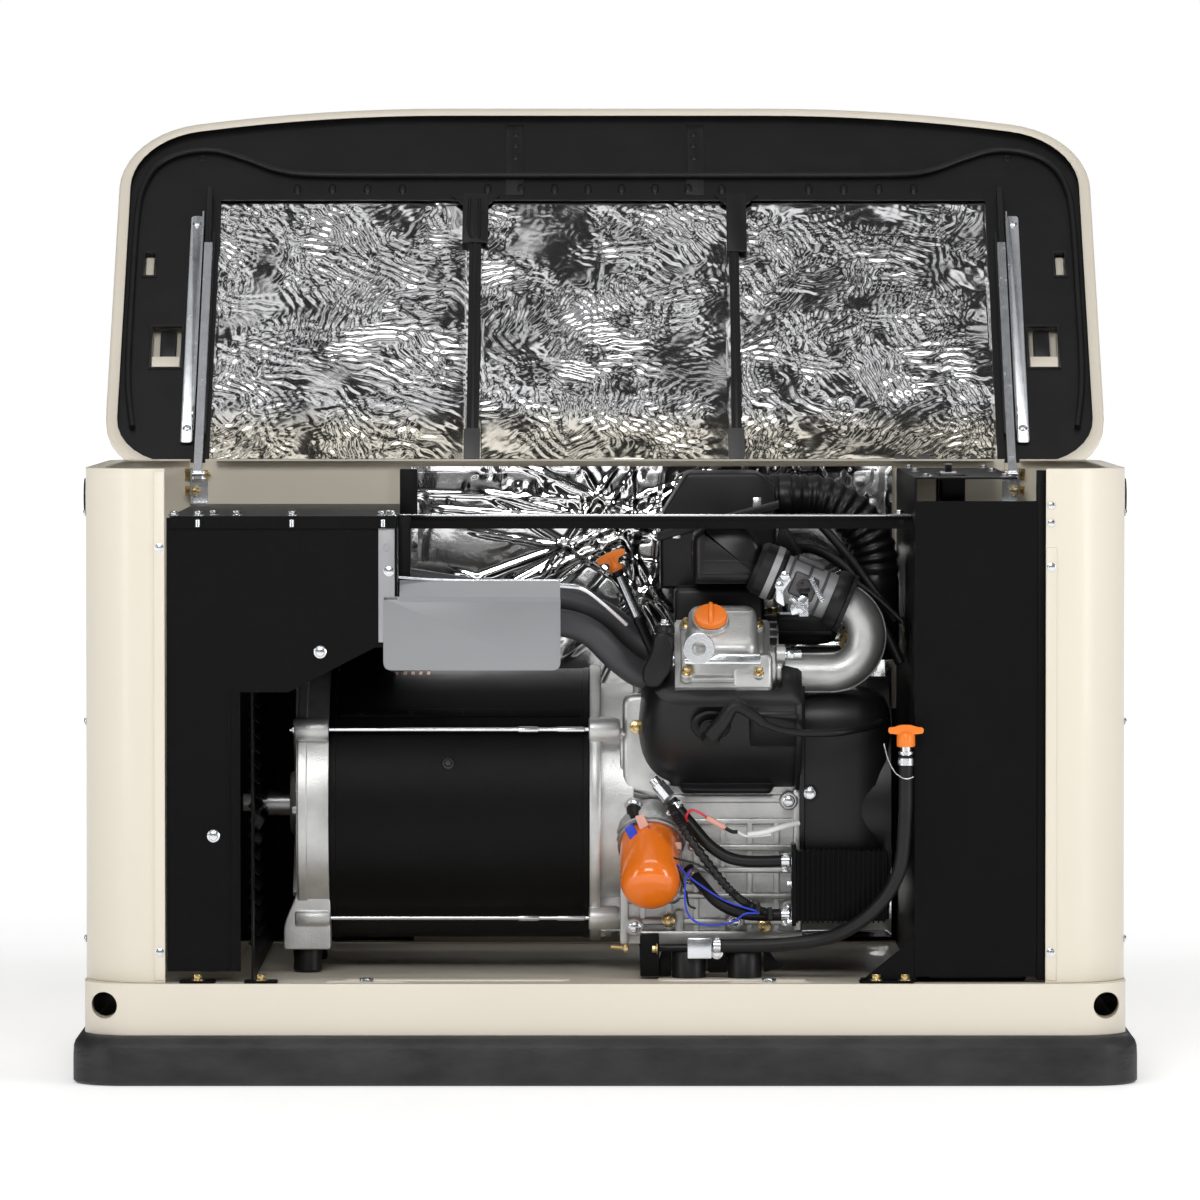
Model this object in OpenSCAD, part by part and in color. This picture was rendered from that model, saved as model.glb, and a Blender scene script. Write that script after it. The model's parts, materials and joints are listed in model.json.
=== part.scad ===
// Home standby generator: a tan sheet-metal enclosure on a composite pad, with its roof held open.
// X runs to the right, Y to the back and Z up. The origin is the middle of the pad's underside.

/* [Pad and pan] */
// Length of the composite pad
pad_len = 1218; // [1212:1:1230]
// Depth of the composite pad
pad_dep = 638; // [632:1:650]
// Height of the composite pad
pad_h = 56; // [50:1:60]
// Height of the steel base pan above the pad
pan_h = 59; // [57:1:62]
// Radius of a lifting hole in the pan's skirt
lift_r = 15.1; // [12:0.1:17]
// Distance of a lifting hole from the middle
lift_x = 572; // [566:1:574]
// Radius of an anchor bolt hole
anchor_r = 7; // [5:0.5:9]
// Distance of an anchor hole from the middle along the length
anchor_x = 546; // [540:1:550]
// Distance of an anchor hole from the middle along the depth
anchor_y = 236; // [228:1:240]

/* [Enclosure] */
// Half the width of the enclosure
body_hx = 597; // [594:1:600]
// Front face of the enclosure
body_front = -289; // [-292:1:-286]
// Rear face of the side panels
body_rear = 291; // [290:0.5:291]
// Top edge of the enclosure walls
body_top = 702; // [701:0.5:702]
// Sheet thickness of the panels
sheet = 2; // [1.5:0.1:2]
// Half the width of the front opening
mouth_hx = 502; // [502:1:506]

/* [Roof] */
// Half the width of the roof
roof_hx = 609; // [606:1:612]
// Front edge of the closed roof, at the middle
roof_front = -324; // [-330:1:-320]
// Rear edge of the closed roof
roof_rear = 314; // [313:0.5:315]
// Underside of the closed roof
lip_z = 703; // [703:0.5:704]
// Top of the closed roof, at the middle
crown_z = 740; // [738:1:744]
// Angle the roof stands open
open_deg = 135; // [120:1:135]
// Distance of the hinge axis from the middle
hinge_y = 302; // [302:0.5:303]
// Height of the hinge axis
hinge_z = 699; // [698.5:0.5:699]

/* [Engine and alternator] */
// Height of the crankshaft axis
shaft_z = 306; // [304:1:308]
// Place of the crankshaft axis along the depth
shaft_y = -40; // [-42:1:-38]
// Outer radius of the alternator can
can_r = 157; // [154:1:158]
// Lean of each cylinder from upright
lean = 40; // [39:0.5:41]
// Cylinder bore radius
bore_r = 45; // [40:1:46]
// Angle of the oil filter below level
filter_dip = 41; // [38:1:44]

/* [Hidden] */
$fn = 64;

tan_paint = "#ded6c4";
black_paint = "#1f1f21";
black_plastic = "#26262a";
foil = "#c9c6bd";
cast_alloy = "#b4b4b2";
zinc = "#c3c7c9";
steel = "#8e9194";
orange = "#f07c22";
rubber = "#161617";
gold_zinc = "#b99a4e";

eps = 0.01;
deck_z = pad_h + pan_h;
wall_z = deck_z + 0.3;
lip_t = 1.5;
hem_w = 14;
duct_x = -404;
duct_top_z = 646;
duct_right_x = -238;
panel_y = -285;
part_x = 353;
rail_y = -208;
shaft_r = 15;
can_x0 = -319;
can_x1 = -17;
bell_x = -356;
block_x1 = 226;
front_x = 135;
rear_x = 150;
filter_seat = [52, -170, 268];
throttle_at = [228, -178, 565];
throttle_dip = 22.7;
stay_pivot = [493, 284, 684];
stay_len = 393.3;
stay_open_deg = 134.88;
stay_w = 10;
pivot_r = 3;
hinge_xs = [-370, 0, 370];
knuckle_hw = 20;
bolt_angles = [34, -50, 146, 230];
bolt_ring = 166;
lock_at = [body_hx, -100, 666];
cap_at = [-14, 4];
dip_top = [14, -60, 578];
dip_lean = 23.9;
drain_at = [342, -306.5, 397];

// ---------- shared shapes ----------

// A box between two opposite corners.
module box(a, b) {
    translate(a)
        cube(b - a);
}

// A cylinder from a point along +X.
module bar_x(p, r, len) {
    translate(p)
        rotate([0, 90, 0])
            cylinder(r = r, h = len);
}

// A cylinder from a point along +Y.
module bar_y(p, r, len) {
    translate(p)
        rotate([-90, 0, 0])
            cylinder(r = r, h = len);
}

// A hexagon bolt head or nut, upright, on a point.
module hex_head(p, across, h) {
    translate(p)
        cylinder(d = across * 1.155, h = h, $fn = 6);
}

// A rectangle with its own corner radius at the front and at the rear.
module plan(hx, y0, y1, rf, rr) {
    translate([-hx, y0 + rf])
        square([2 * hx, y1 - rr - y0 - rf]);
    translate([-hx + rf, y0])
        square([2 * (hx - rf), rf + eps]);
    translate([-hx + rr, y1 - rr - eps])
        square([2 * (hx - rr), rr + eps]);
    for (s = [-1, 1]) {
        translate([s * (hx - rf), y0 + rf])
            circle(r = rf);
        translate([s * (hx - rr), y1 - rr])
            circle(r = rr);
    }
}

function arc(c, r, a0, a1, n) =
    [for (i = [0 : n]) let (a = a0 + (a1 - a0) * i / n) c + r * [cos(a), sin(a)]];

function flip(points) =
    [for (i = [len(points) - 1 : -1 : 0]) [-points[i][0], points[i][1]]];

// Half of the roof's outline: a flat middle, a slow bow, a round front corner and rear corner.
function roof_half(inset) =
    let (
        bow_r = 1700, bow_x = 200, corner_r = 116, rear_r = 90,
        turn = asin((roof_hx - corner_r - bow_x) / (bow_r - corner_r)),
        corner = [roof_hx - corner_r, roof_front + bow_r - (bow_r - corner_r) * cos(turn)]
    )
    concat(
        [[0, roof_front + inset]],
        arc([bow_x, roof_front + bow_r], bow_r - inset, -90, -90 + turn, 8),
        arc(corner, corner_r - inset, -90 + turn + 8, 0, 9),
        arc([roof_hx - rear_r, roof_rear - rear_r], rear_r - inset, 0, 90, 9)
    );

module roof_outline(inset) {
    half = roof_half(inset);
    polygon(concat(half, flip(half)));
}

// Everything inside moves from the closed roof's place to its open place.
module opened() {
    translate([0, hinge_y, hinge_z])
        rotate([-open_deg, 0, 0])
            translate([0, -hinge_y, -hinge_z])
                children();
}

// Everything inside stands on the crankshaft axis and leans with one cylinder.
module on_cylinder(x, side) {
    translate([x, shaft_y, shaft_z])
        rotate([side * lean, 0, 0])
            children();
}

// ---------- swept tubes ----------

function unit(v) = v / norm(v);

// A smooth curve through hand-chosen points, with n steps between neighbours.
function spline(p, n) =
    let (last = len(p) - 1)
    concat(
        [for (i = [0 : last - 1], k = [0 : n - 1])
            let (
                t = k / n,
                a = p[max(i - 1, 0)], b = p[i], c = p[i + 1], d = p[min(i + 2, last)]
            )
            0.5 * (2 * b + t * (c - a) + t * t * (2 * a - 5 * b + 4 * c - d)
                + t * t * t * (3 * b - a - 3 * c + d))],
        [p[last]]
    );

function heading(p, i) = unit(p[min(i + 1, len(p) - 1)] - p[max(i - 1, 0)]);

// A closed tube along points; side_ref is a direction the path never follows.
module tube(p, r, sides, side_ref) {
    n = len(p);
    rings = [for (i = [0 : n - 1])
        let (t = heading(p, i), u = unit(cross(t, side_ref)), v = cross(t, u))
        for (k = [0 : sides - 1])
            p[i] + r * (cos(360 * k / sides) * u + sin(360 * k / sides) * v)];
    walls = [for (i = [0 : n - 2], k = [0 : sides - 1])
        let (j = (k + 1) % sides)
        [i * sides + k, (i + 1) * sides + k, (i + 1) * sides + j, i * sides + j]];
    cap0 = [for (k = [0 : sides - 1]) k];
    cap1 = [for (k = [sides - 1 : -1 : 0]) (n - 1) * sides + k];
    polyhedron(points = rings, faces = concat(walls, [cap0, cap1]));
}

// Hand-chosen routes.
seal_half = [
    [0, -205, 707], [200, -205, 707], [360, -206, 707], [410, -214, 707], [450, -234, 707],
    [490, -250, 707], [530, -246, 707], [562, -224, 707], [580, -180, 707], [585, -120, 707],
    [586, 0, 707], [585, 150, 707], [576, 236, 707]
];
drain_route = [
    [342, -306.5, 376], [342, -306.5, 360], [341, -302, 300], [334, -288, 240],
    [306, -272, 196], [260, -258, 166], [200, -250, 156], [130, -246, 154]
];
upper_oil_route = [
    [76, -196, 318], [98, -204, 292], [124, -212, 264], [156, -216, 250], [213.5, -216, 250]
];
lower_oil_route = [
    [96, -174, 238], [112, -192, 220], [132, -208, 200], [164, -214, 188], [213.5, -216, 188]
];
lead_route = [
    [150, -262, 430], [182, -262, 410], [214, -256, 400], [262, -240, 398], [304, -214, 404],
    [318, -196, 408]
];
front_exhaust_route = [
    [76, -176, 466], [44, -180, 462], [14, -190, 482], [-18, -200, 512], [-56, -206, 524],
    [-110, -208, 524], [-180, -204, 528], [-236, -190, 546], [-270, -180, 564], [-310, -170, 572]
];
rear_exhaust_route = [
    [93, 96, 467], [70, 97, 468], [40, 106, 486], [0, 110, 520], [-60, 110, 540],
    [-150, 110, 548], [-230, 110, 560], [-310, 110, 572]
];

// ---------- base ----------

module anchors(z0, z1) {
    for (x = [-anchor_x, anchor_x], y = [-anchor_y, anchor_y])
        translate([x, y, z0])
            cylinder(r = anchor_r, h = z1 - z0);
}

module base_pad() {
    edge = 5;
    corner = 58;
    color(rubber)
        difference() {
            union() {
                linear_extrude(pad_h - edge)
                    plan(pad_len / 2, -pad_dep / 2, pad_dep / 2, corner, corner);
                translate([0, 0, pad_h - edge - eps])
                    linear_extrude(edge + eps)
                        plan(pad_len / 2 - 4, 4 - pad_dep / 2, pad_dep / 2 - 4, corner - 4, corner - 4);
            }
            anchors(-1, pad_h + 1);
        }
}

pan_hx = 597;
pan_hy = 300;
pan_r = 62;
recess_xs = [-273, 187];

module base_pan() {
    recess_h = 4;
    color(tan_paint)
        difference() {
            union() {
                difference() {
                    translate([0, 0, pad_h])
                        linear_extrude(pan_h)
                            plan(pan_hx, -pan_hy, pan_hy, pan_r, pan_r);
                    translate([0, 0, pad_h - 1])
                        linear_extrude(pan_h + 1 - sheet)
                            plan(pan_hx - sheet, sheet - pan_hy, pan_hy - sheet, pan_r - sheet,
                                pan_r - sheet);
                }
                intersection() {
                    translate([0, 0, pad_h])
                        linear_extrude(pan_h)
                            plan(pan_hx, -pan_hy, pan_hy, pan_r, pan_r);
                    for (x = [-lift_x, lift_x], s = [-1, 1])
                        bar_y([x, s < 0 ? -pan_hy : pan_hy - 50, pad_h + 33.5], lift_r + 3, 50);
                }
                for (x = recess_xs)
                    box([x - 48, 16 - pan_hy, deck_z - sheet - recess_h],
                        [x + 48, 40 - pan_hy, deck_z - 1]);
            }
            for (x = [-lift_x, lift_x], s = [-1, 1])
                bar_y([x, s < 0 ? -pan_hy - 1 : pan_hy - 70, pad_h + 33.5], lift_r, 71);
            for (x = recess_xs)
                translate([x, 28 - pan_hy, deck_z - recess_h])
                    linear_extrude(recess_h + 1)
                        plan(45, -9, 9, 8.9, 8.9);
            anchors(pad_h - 1, deck_z + 1);
        }
}

// ---------- enclosure ----------

module body_plan(inset) {
    plan(body_hx - inset, body_front + inset, body_rear - inset, 85 - inset, 60 - inset);
}

// One side panel with its front and rear corners and its inward top flange, on the +X side.
module side_panel() {
    flange = 20;
    color(tan_paint)
        difference() {
            union() {
                translate([0, 0, wall_z])
                    linear_extrude(body_top - wall_z)
                        difference() {
                            body_plan(0);
                            body_plan(sheet);
                        }
                translate([0, 0, body_top - sheet])
                    linear_extrude(sheet)
                        difference() {
                            body_plan(0);
                            body_plan(flange);
                        }
            }
            box([-body_hx - 1, body_front - 1, 0], [mouth_hx, body_rear + 1, body_top + 1]);
            bar_x([body_hx - 10, lock_at[1], lock_at[2]], 11.05, 20);
        }
}

module left_side_panel() {
    mirror([1, 0, 0])
        side_panel();
}

module right_side_panel() {
    side_panel();
}

module rear_panel() {
    y0 = body_rear + 0.3;
    notch_x = stay_pivot[0];
    color(tan_paint)
        difference() {
            union() {
                box([-522, y0, wall_z], [522, y0 + sheet, body_top]);
                box([-470, y0 - 20, body_top - sheet], [470, y0 + 1, body_top]);
            }
            for (s = [-1, 1])
                box([s * notch_x - 9, y0 - 1, 678], [s * notch_x + 9, y0 + 3, body_top + 1]);
            for (x = [-440, 220], row = [0 : 9])
                box([x, y0 - 1, 170 + row * 20], [x + 200, y0 + 3, 178 + row * 20]);
            bar_y([450, y0 - 5, 200], 14.3, 12);
            bar_y([300, y0 - 5, 480], 14.3, 12);
        }
}

module front_rail() {
    z1 = 647.5;
    color(black_paint) {
        difference() {
            union() {
                box([-236, rail_y, z1 - 16], [part_x - 0.3, rail_y + 2, z1]);
                box([-236, rail_y + 2, z1 - 2], [part_x - 0.3, rail_y + 22, z1]);
            }
            for (x = [-226, 340])
                bar_y([x, rail_y - 1, z1 - 8], 3.3, 5);
        }
    }
}

// ---------- muffler compartment on the left ----------

module duct_front_panel() {
    color(black_paint)
        difference() {
            translate([0, panel_y + sheet, 0])
                rotate([90, 0, 0])
                    linear_extrude(sheet)
                        polygon([
                            [-500, 128], [-416, 128], [-416, 447], [-361, 447], [-259, 500],
                            [-259, duct_top_z], [-500, duct_top_z]
                        ]);
            for (p = [[-325, 493], [-447, 283]])
                bar_y([p[0], panel_y - 1, p[1]], 3, 5);
        }
}

module duct_top_plate() {
    color(black_paint) {
        box([-496, panel_y - 2, duct_top_z], [duct_right_x, 288, duct_top_z + sheet]);
        box([-496, panel_y - 2 - sheet, duct_top_z - 12],
            [duct_right_x, panel_y - 2, duct_top_z + sheet]);
    }
}

module duct_divider() {
    shelf_z = 498;
    y0 = panel_y + sheet;
    y1 = 288;
    pitch = 17.5;
    color(black_paint) {
        difference() {
            union() {
                box([duct_right_x - sheet, y0, shelf_z], [duct_right_x, y1, duct_top_z]);
                box([duct_x, y0, shelf_z], [duct_right_x, y1, shelf_z + sheet]);
                box([-259, y0, shelf_z], [duct_right_x, y0 + sheet, duct_top_z]);
                box([duct_x, y0, deck_z + 1], [duct_x + sheet, y1, shelf_z + eps]);
            }
            box([duct_x - 1, -240, 146], [duct_x + 3, 250, 440]);
            bar_x([duct_right_x - 5, -190.5, 546], 21, 8);
            bar_x([duct_right_x - 5, 110, 559], 20, 8);
            bar_y([-248, y0 - 1, 612], 3, 5);
        }
        for (i = [0 : 16])
            translate([duct_x + 1, -240.5, 152 + i * pitch])
                rotate([0, 38, 0])
                    translate([-8, 0, -0.6])
                        cube([16, 491, 1.2]);
    }
}

// ---------- control compartment on the right ----------

module right_front_panel() {
    color(black_paint) {
        box([part_x, panel_y, deck_z + 7], [492, panel_y + sheet, 665]);
        box([490, panel_y + sheet, deck_z + 7], [492, panel_y + 20, 665]);
    }
}

module right_partition() {
    color(black_paint) {
        difference() {
            box([part_x, panel_y + sheet, deck_z + 1], [part_x + sheet, 288, 690]);
            bar_x([part_x - 1, -150, 500], 25, 5);
            bar_x([part_x - 1, -shaft_y, 306], 60, 5);
        }
        translate([0, panel_y + 4, 0])
            rotate([90, 0, 0])
                linear_extrude(3)
                    polygon([[292, deck_z + 2], [part_x, deck_z + 2], [part_x, deck_z + 52]]);
        box([292, panel_y + 4, deck_z + 1], [part_x, panel_y + 26, deck_z + 4]);
    }
}

module right_top_plate() {
    color(black_paint)
        difference() {
            box([part_x, panel_y + sheet, 690], [470, 268, 692]);
            box([384, -206, 689], [416, -114, 693]);
            box([384, -86, 689], [416, -54, 693]);
        }
}

module rear_insulation() {
    color(foil)
        difference() {
            box([-235, 268, deck_z + 8], [part_x - 3, 289, 696]);
            bar_y([300, 260, 480], 15, 40);
        }
}

// ---------- roof hinges and stays on the body ----------

module stay_brackets() {
    color(zinc)
        for (s = [0, 1])
            mirror([s, 0, 0]) {
                difference() {
                    union() {
                        box([499, 264, 648.5], [501, 291.3, 692]);
                        box([481, 289.3, 648.5], [499, 291.3, 676]);
                        box([481, 250, 648.5], [499, 291.3, 650.5]);
                        box([498.5, 264, 648.5], [499.5, 291.3, 650.5]);
                    }
                    bar_x([498, 272, 664], 3.3, 4);
                }
                bar_x([485, stay_pivot[1], stay_pivot[2]], pivot_r, 15);
                bar_x([484.5, stay_pivot[1], stay_pivot[2]], 5, 2);
            }
}

module body_hinge_leaves() {
    leaf_y = body_rear + 0.3 + sheet;
    color(black_paint)
        for (x = hinge_xs) {
            box([x - 34, leaf_y, 655], [x + 34, leaf_y + 2, 696.5]);
            for (s = [-1, 1]) {
                x0 = s < 0 ? x - 34 : x + knuckle_hw;
                box([x0, leaf_y, 694], [x0 + 14, hinge_y, 696.5]);
                bar_x([x0, hinge_y, hinge_z], 3, 14);
            }
            bar_x([x - 34, hinge_y, hinge_z], 1.5, 68);
        }
}

// ---------- roof ----------

module roof_blank(inset, drop) {
    crown_r = 2688;
    cross_r = 18545;
    intersection() {
        translate([0, 0, lip_z])
            linear_extrude(crown_z - lip_z - drop)
                roof_outline(inset);
        bar_x([-700, -5, crown_z - drop - crown_r], crown_r, 1400);
        bar_y([0, -400, crown_z - drop - cross_r], cross_r, 800);
    }
}

module roof_shell() {
    color(tan_paint)
        opened()
            difference() {
                roof_blank(0, 0, $fn = 256);
                translate([0, 0, lip_t])
                    roof_blank(lip_t, 2 * lip_t, $fn = 256);
                translate([0, 0, lip_z - 1])
                    linear_extrude(lip_t + 2)
                        roof_outline(hem_w);
            }
}

liner_z = 711;
pad_z0 = liner_z + 2;
pad_z1 = 719.5;
pad_y0 = -169;
pad_y1 = 290;
pad_xs = [[-485, -165], [-158, 159], [163, 481]];

module roof_liner() {
    z0 = liner_z;
    color(black_plastic)
        opened()
            difference() {
                translate([0, 0, z0])
                    linear_extrude(2)
                        roof_outline(lip_t + 1);
                for (p = pad_xs)
                    box([p[0] + 4, pad_y0 + 4, z0 - 1], [p[1] - 4, pad_y1 - 4, z0 + 3]);
                for (s = [-1, 1]) {
                    box([s * 540 - 18, 60, z0 - 1], [s * 540 + 18, 130, z0 + 3]);
                    box([s * 566 - 6, -70, z0 - 1], [s * 566 + 6, -30, z0 + 3]);
                }
            }
}

module roof_seal() {
    half = spline(seal_half, 2);
    n = len(half);
    whole = concat(
        [for (i = [n - 1 : -1 : 1]) [-half[i][0], half[i][1], half[i][2]]],
        half
    );
    color(rubber)
        opened()
            tube(whole, 3.8, 8, [0, 0, 1]);
}

module roof_insulation() {
    color(foil)
        opened()
            for (p = pad_xs)
                box([p[0], pad_y0, pad_z0], [p[1], pad_y1, pad_z1]);
}

module stay_rails() {
    y0 = -123;
    y1 = 258;
    color(zinc)
        opened()
            for (s = [0, 1])
                mirror([s, 0, 0])
                    difference() {
                        union() {
                            box([500, y0, 690], [502, y1, liner_z]);
                            box([502 - eps, y0, liner_z - 2], [517, y1, liner_z]);
                        }
                        box([499, y0 + 10, 693], [503, -56, 699]);
                    }
}

module roof_hinge_leaves() {
    hw = knuckle_hw - 0.4;
    color(black_paint)
        opened()
            for (x = hinge_xs)
                difference() {
                    union() {
                        bar_x([x - hw, hinge_y, hinge_z], 3, 2 * hw);
                        box([x - hw, hinge_y - 1, hinge_z + 2], [x + hw, 311, lip_z]);
                    }
                    bar_x([x - hw - 1, hinge_y, hinge_z], 1.55, 2 * hw + 2);
                }
}

// A channel arm from its pivot towards the front, swung up to its open place, on the +X side.
module stay_arm() {
    h = 6;
    x0 = stay_pivot[0] - stay_w / 2;
    color(zinc)
        translate([0, stay_pivot[1], stay_pivot[2]])
            rotate([-stay_open_deg, 0, 0])
                difference() {
                    union() {
                        bar_x([x0, 0, 0], h, stay_w);
                        box([x0, -stay_len, -h], [x0 + stay_w, 0, h]);
                    }
                    box([x0 + 2, -stay_len + 12, 1 - h], [x0 + stay_w - 2, -14, h + 1]);
                    bar_x([x0 - 1, 0, 0], pivot_r + 0.05, stay_w + 2);
                }
}

module right_stay_arm() {
    stay_arm();
}

module left_stay_arm() {
    mirror([1, 0, 0])
        stay_arm();
}

// A round lock with a coin slot outside and a cam inside, on the +X side.
module lock() {
    color(black_plastic)
        translate(lock_at)
            difference() {
                union() {
                    bar_x([0.4, 0, 0], 21.5, 7.6);
                    bar_x([-14, 0, 0], 11, 15);
                    box([-14, -6, 0], [-11, 6, 30]);
                }
                box([6, -14, -2], [9, 14, 2]);
            }
}

module right_lock() {
    lock();
}

module left_lock() {
    mirror([1, 0, 0])
        lock();
}

// ---------- alternator ----------

// Places children at each tie bolt.
module at_bolts(x) {
    for (a = bolt_angles)
        translate([x, shaft_y - bolt_ring * cos(a), shaft_z + bolt_ring * sin(a)])
            rotate([0, 90, 0])
                children();
}

module alternator_can() {
    wall = 3;
    color(black_paint)
        difference() {
            bar_x([can_x0, shaft_y, shaft_z], can_r, can_x1 - can_x0, $fn = 128);
            bar_x([can_x0 - 1, shaft_y, shaft_z], can_r - wall, can_x1 - can_x0 + 2, $fn = 128);
            for (i = [0 : 4])
                box([-244 + 9 * i, shaft_y - 40, shaft_z + 100], [-240 + 9 * i, shaft_y, 480]);
        }
}

module end_bell() {
    x1 = can_x0;
    color(cast_alloy)
        difference() {
            union() {
                bar_x([bell_x, shaft_y, shaft_z], can_r, x1 - bell_x, $fn = 128);
                at_bolts(bell_x)
                    cylinder(r = 11, h = x1 - bell_x);
                for (y = [-132, 52])
                    box([bell_x, y - 24, 143], [x1, y + 24, 200]);
            }
            bar_x([bell_x - 1, shaft_y, shaft_z], 31, 60);
            bar_x([bell_x + 14, shaft_y, shaft_z], can_r - 12, 60, $fn = 128);
            for (a = [0 : 45 : 315])
                translate([bell_x - 1, shaft_y, shaft_z])
                    rotate([a + 22.5, 0, 0])
                        box([0, -26, 60], [20, 26, 128]);
            at_bolts(bell_x - 1)
                cylinder(r = 2.55, h = 60);
        }
}

module stator() {
    color("#9a5b32")
        difference() {
            bar_x([-270, shaft_y, shaft_z], can_r - 3, 190, $fn = 128);
            bar_x([-271, shaft_y, shaft_z], 100, 192, $fn = 128);
        }
}

module tie_bolts() {
    color(zinc) {
        at_bolts(bell_x - 8)
            cylinder(r = 2.5, h = -bell_x + 4);
        at_bolts(bell_x - 4.5)
            difference() {
                cylinder(d = 11.5, h = 4.5, $fn = 6);
                translate([0, 0, -1])
                    cylinder(r = 2.55, h = 7);
            }
    }
}

module rotor() {
    color(steel) {
        bar_x([-262, shaft_y, shaft_z], 99, 174, $fn = 128);
        bar_x([-395, shaft_y, shaft_z], shaft_r, 133);
        for (x = [-300, -285])
            bar_x([x, shaft_y, shaft_z], 24, 8);
    }
}

module rotor_bearing() {
    color(steel)
        difference() {
            bar_x([bell_x, shaft_y, shaft_z], 31, 14);
            bar_x([bell_x - 1, shaft_y, shaft_z], shaft_r + 0.05, 16);
        }
}

// ---------- engine ----------

module crankcase() {
    deck = 105;
    color(cast_alloy)
        difference() {
            union() {
                bar_x([can_x1, shaft_y, shaft_z], can_r + 3, 10, $fn = 128);
                bar_x([can_x1, shaft_y, shaft_z], can_r - 17, 50, $fn = 128);
                at_bolts(can_x1)
                    cylinder(r = 11, h = 10);
                intersection() {
                    box([20, -160, 150], [block_x1, 80, 460]);
                    on_cylinder(0, 1)
                        box([-300, -400, -400], [300, 400, deck]);
                    on_cylinder(0, -1)
                        box([-300, -400, -400], [300, 400, deck]);
                }
                for (x = [40 : 31 : 200])
                    box([x, -167, 160], [x + 6, -158, 290]);
                translate(filter_seat)
                    rotate([90 + filter_dip, 0, 0])
                        translate([0, 0, -34])
                            cylinder(r = 37, h = 34);
            }
            bar_x([24, shaft_y, shaft_z], 92, 190, $fn = 96);
            bar_x([can_x1 - 1, shaft_y, shaft_z], 110, 32, $fn = 96);
            bar_x([10, shaft_y, shaft_z], 20.05, 300);
            bar_x([16, shaft_y, shaft_z + 103], 10.05, 190);
            for (c = [[front_x, 1], [rear_x, -1]])
                on_cylinder(c[0], c[1])
                    cylinder(r = bore_r + 1, h = 200);
            at_bolts(can_x1 - 1)
                cylinder(r = 2.55, h = 14);
            translate(dip_top)
                rotate([0, 180 - dip_lean, 0])
                    cylinder(r = 7.5, h = 185);
            translate(filter_seat)
                rotate([90 + filter_dip, 0, 0])
                    cylinder(r = 37, h = 90);
        }
}

module crankshaft() {
    color(steel)
        difference() {
            union() {
                bar_x([-88, shaft_y, shaft_z], 20, 162);
                bar_x([170, shaft_y, shaft_z], 20, 118);
                for (x = [74, 155])
                    bar_x([x, shaft_y, shaft_z], 68, 15);
                bar_x([88, shaft_y, shaft_z + 38], 18, 68);
            }
            bar_x([280, shaft_y, shaft_z], 5, 10);
        }
}

module camshaft() {
    z = shaft_z + 103;
    color(steel) {
        bar_x([30, shaft_y, z], 7, 166);
        for (x = [30, 184])
            bar_x([x, shaft_y, z], 10, 12);
        for (i = [0 : 3])
            bar_x([54 + 34 * i, shaft_y + (i % 2 == 0 ? 1.2 : -1.2), z], 8.5, 12);
    }
}

module flywheel_fan() {
    x0 = 246;
    color(black_plastic)
        difference() {
            union() {
                bar_x([x0, shaft_y, shaft_z], 124, 10, $fn = 96);
                bar_x([x0, shaft_y, shaft_z], 40, 40);
                for (a = [0 : 22.5 : 359])
                    translate([x0 + 9, shaft_y, shaft_z])
                        rotate([a, 0, 0])
                            box([0, -2, 70], [34, 2, 120]);
            }
            bar_x([x0 - 1, shaft_y, shaft_z], 20, 60);
        }
}

module blower_housing() {
    r = 148;
    x1 = 330;
    color(black_plastic)
        difference() {
            bar_x([block_x1, shaft_y, shaft_z], r, x1 - block_x1, $fn = 128);
            bar_x([block_x1 + 3, shaft_y, shaft_z], r - 3, x1 - block_x1 - 6, $fn = 128);
            bar_x([block_x1 - 1, shaft_y, shaft_z], 92, 8, $fn = 96);
            bar_x([x1 - 8, shaft_y, shaft_z], 88, 20, $fn = 96);
            box([block_x1 - 2, -300, 0], [400, 300, shaft_z - 132]);
        }
}

module cylinders() {
    base = 105;
    color(cast_alloy)
        for (c = [[front_x, 1], [rear_x, -1]])
            on_cylinder(c[0], c[1])
                difference() {
                    union() {
                        translate([0, 0, base])
                            cylinder(r = bore_r + 9, h = 83);
                        for (i = [0 : 6])
                            translate([0, 0, base + 6 + 11 * i])
                                cylinder(r = 74, h = 3);
                    }
                    translate([0, 0, base - 1])
                        cylinder(r = bore_r, h = 90);
                }
}

// A piston with its ring grooves and pin bore, part of the way up its cylinder.
module piston(c) {
    crown = 160;
    color(steel)
        on_cylinder(c[0], c[1])
            translate([0, 0, crown - 50])
                difference() {
                    cylinder(r = bore_r - 0.05, h = 50);
                    translate([0, 0, -1])
                        cylinder(r = bore_r - 8, h = 43);
                    for (i = [0 : 2])
                        translate([0, 0, 36 + 4 * i])
                            difference() {
                                cylinder(r = bore_r + 1, h = 1.5);
                                translate([0, 0, -1])
                                    cylinder(r = bore_r - 2, h = 4);
                            }
                    bar_x([-60, 0, 18], 9, 120);
                }
}

module front_piston() {
    piston([front_x, 1]);
}

module rear_piston() {
    piston([rear_x, -1]);
}

module cylinder_heads() {
    color(cast_alloy)
        for (c = [[front_x, 1], [rear_x, -1]])
            on_cylinder(c[0], c[1]) {
                difference() {
                    box([-55, -55, 188], [55, 55, 235]);
                    translate([0, 0, 187])
                        cylinder(r = bore_r, h = 14);
                    translate([0, -56, 212])
                        rotate([-90, 0, 0])
                            cylinder(r = 6, h = 40);
                    bar_x([30, 0, 211], 16, 40);
                    bar_x([-70, 0, 211], 13, 40);
                }
                for (i = [0 : 3])
                    for (s = [-1, 1])
                        box([-53, s > 0 ? 55 : -67, 192 + 11 * i], [53, s > 0 ? 67 : -55, 195 + 11 * i]);
            }
}

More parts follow.
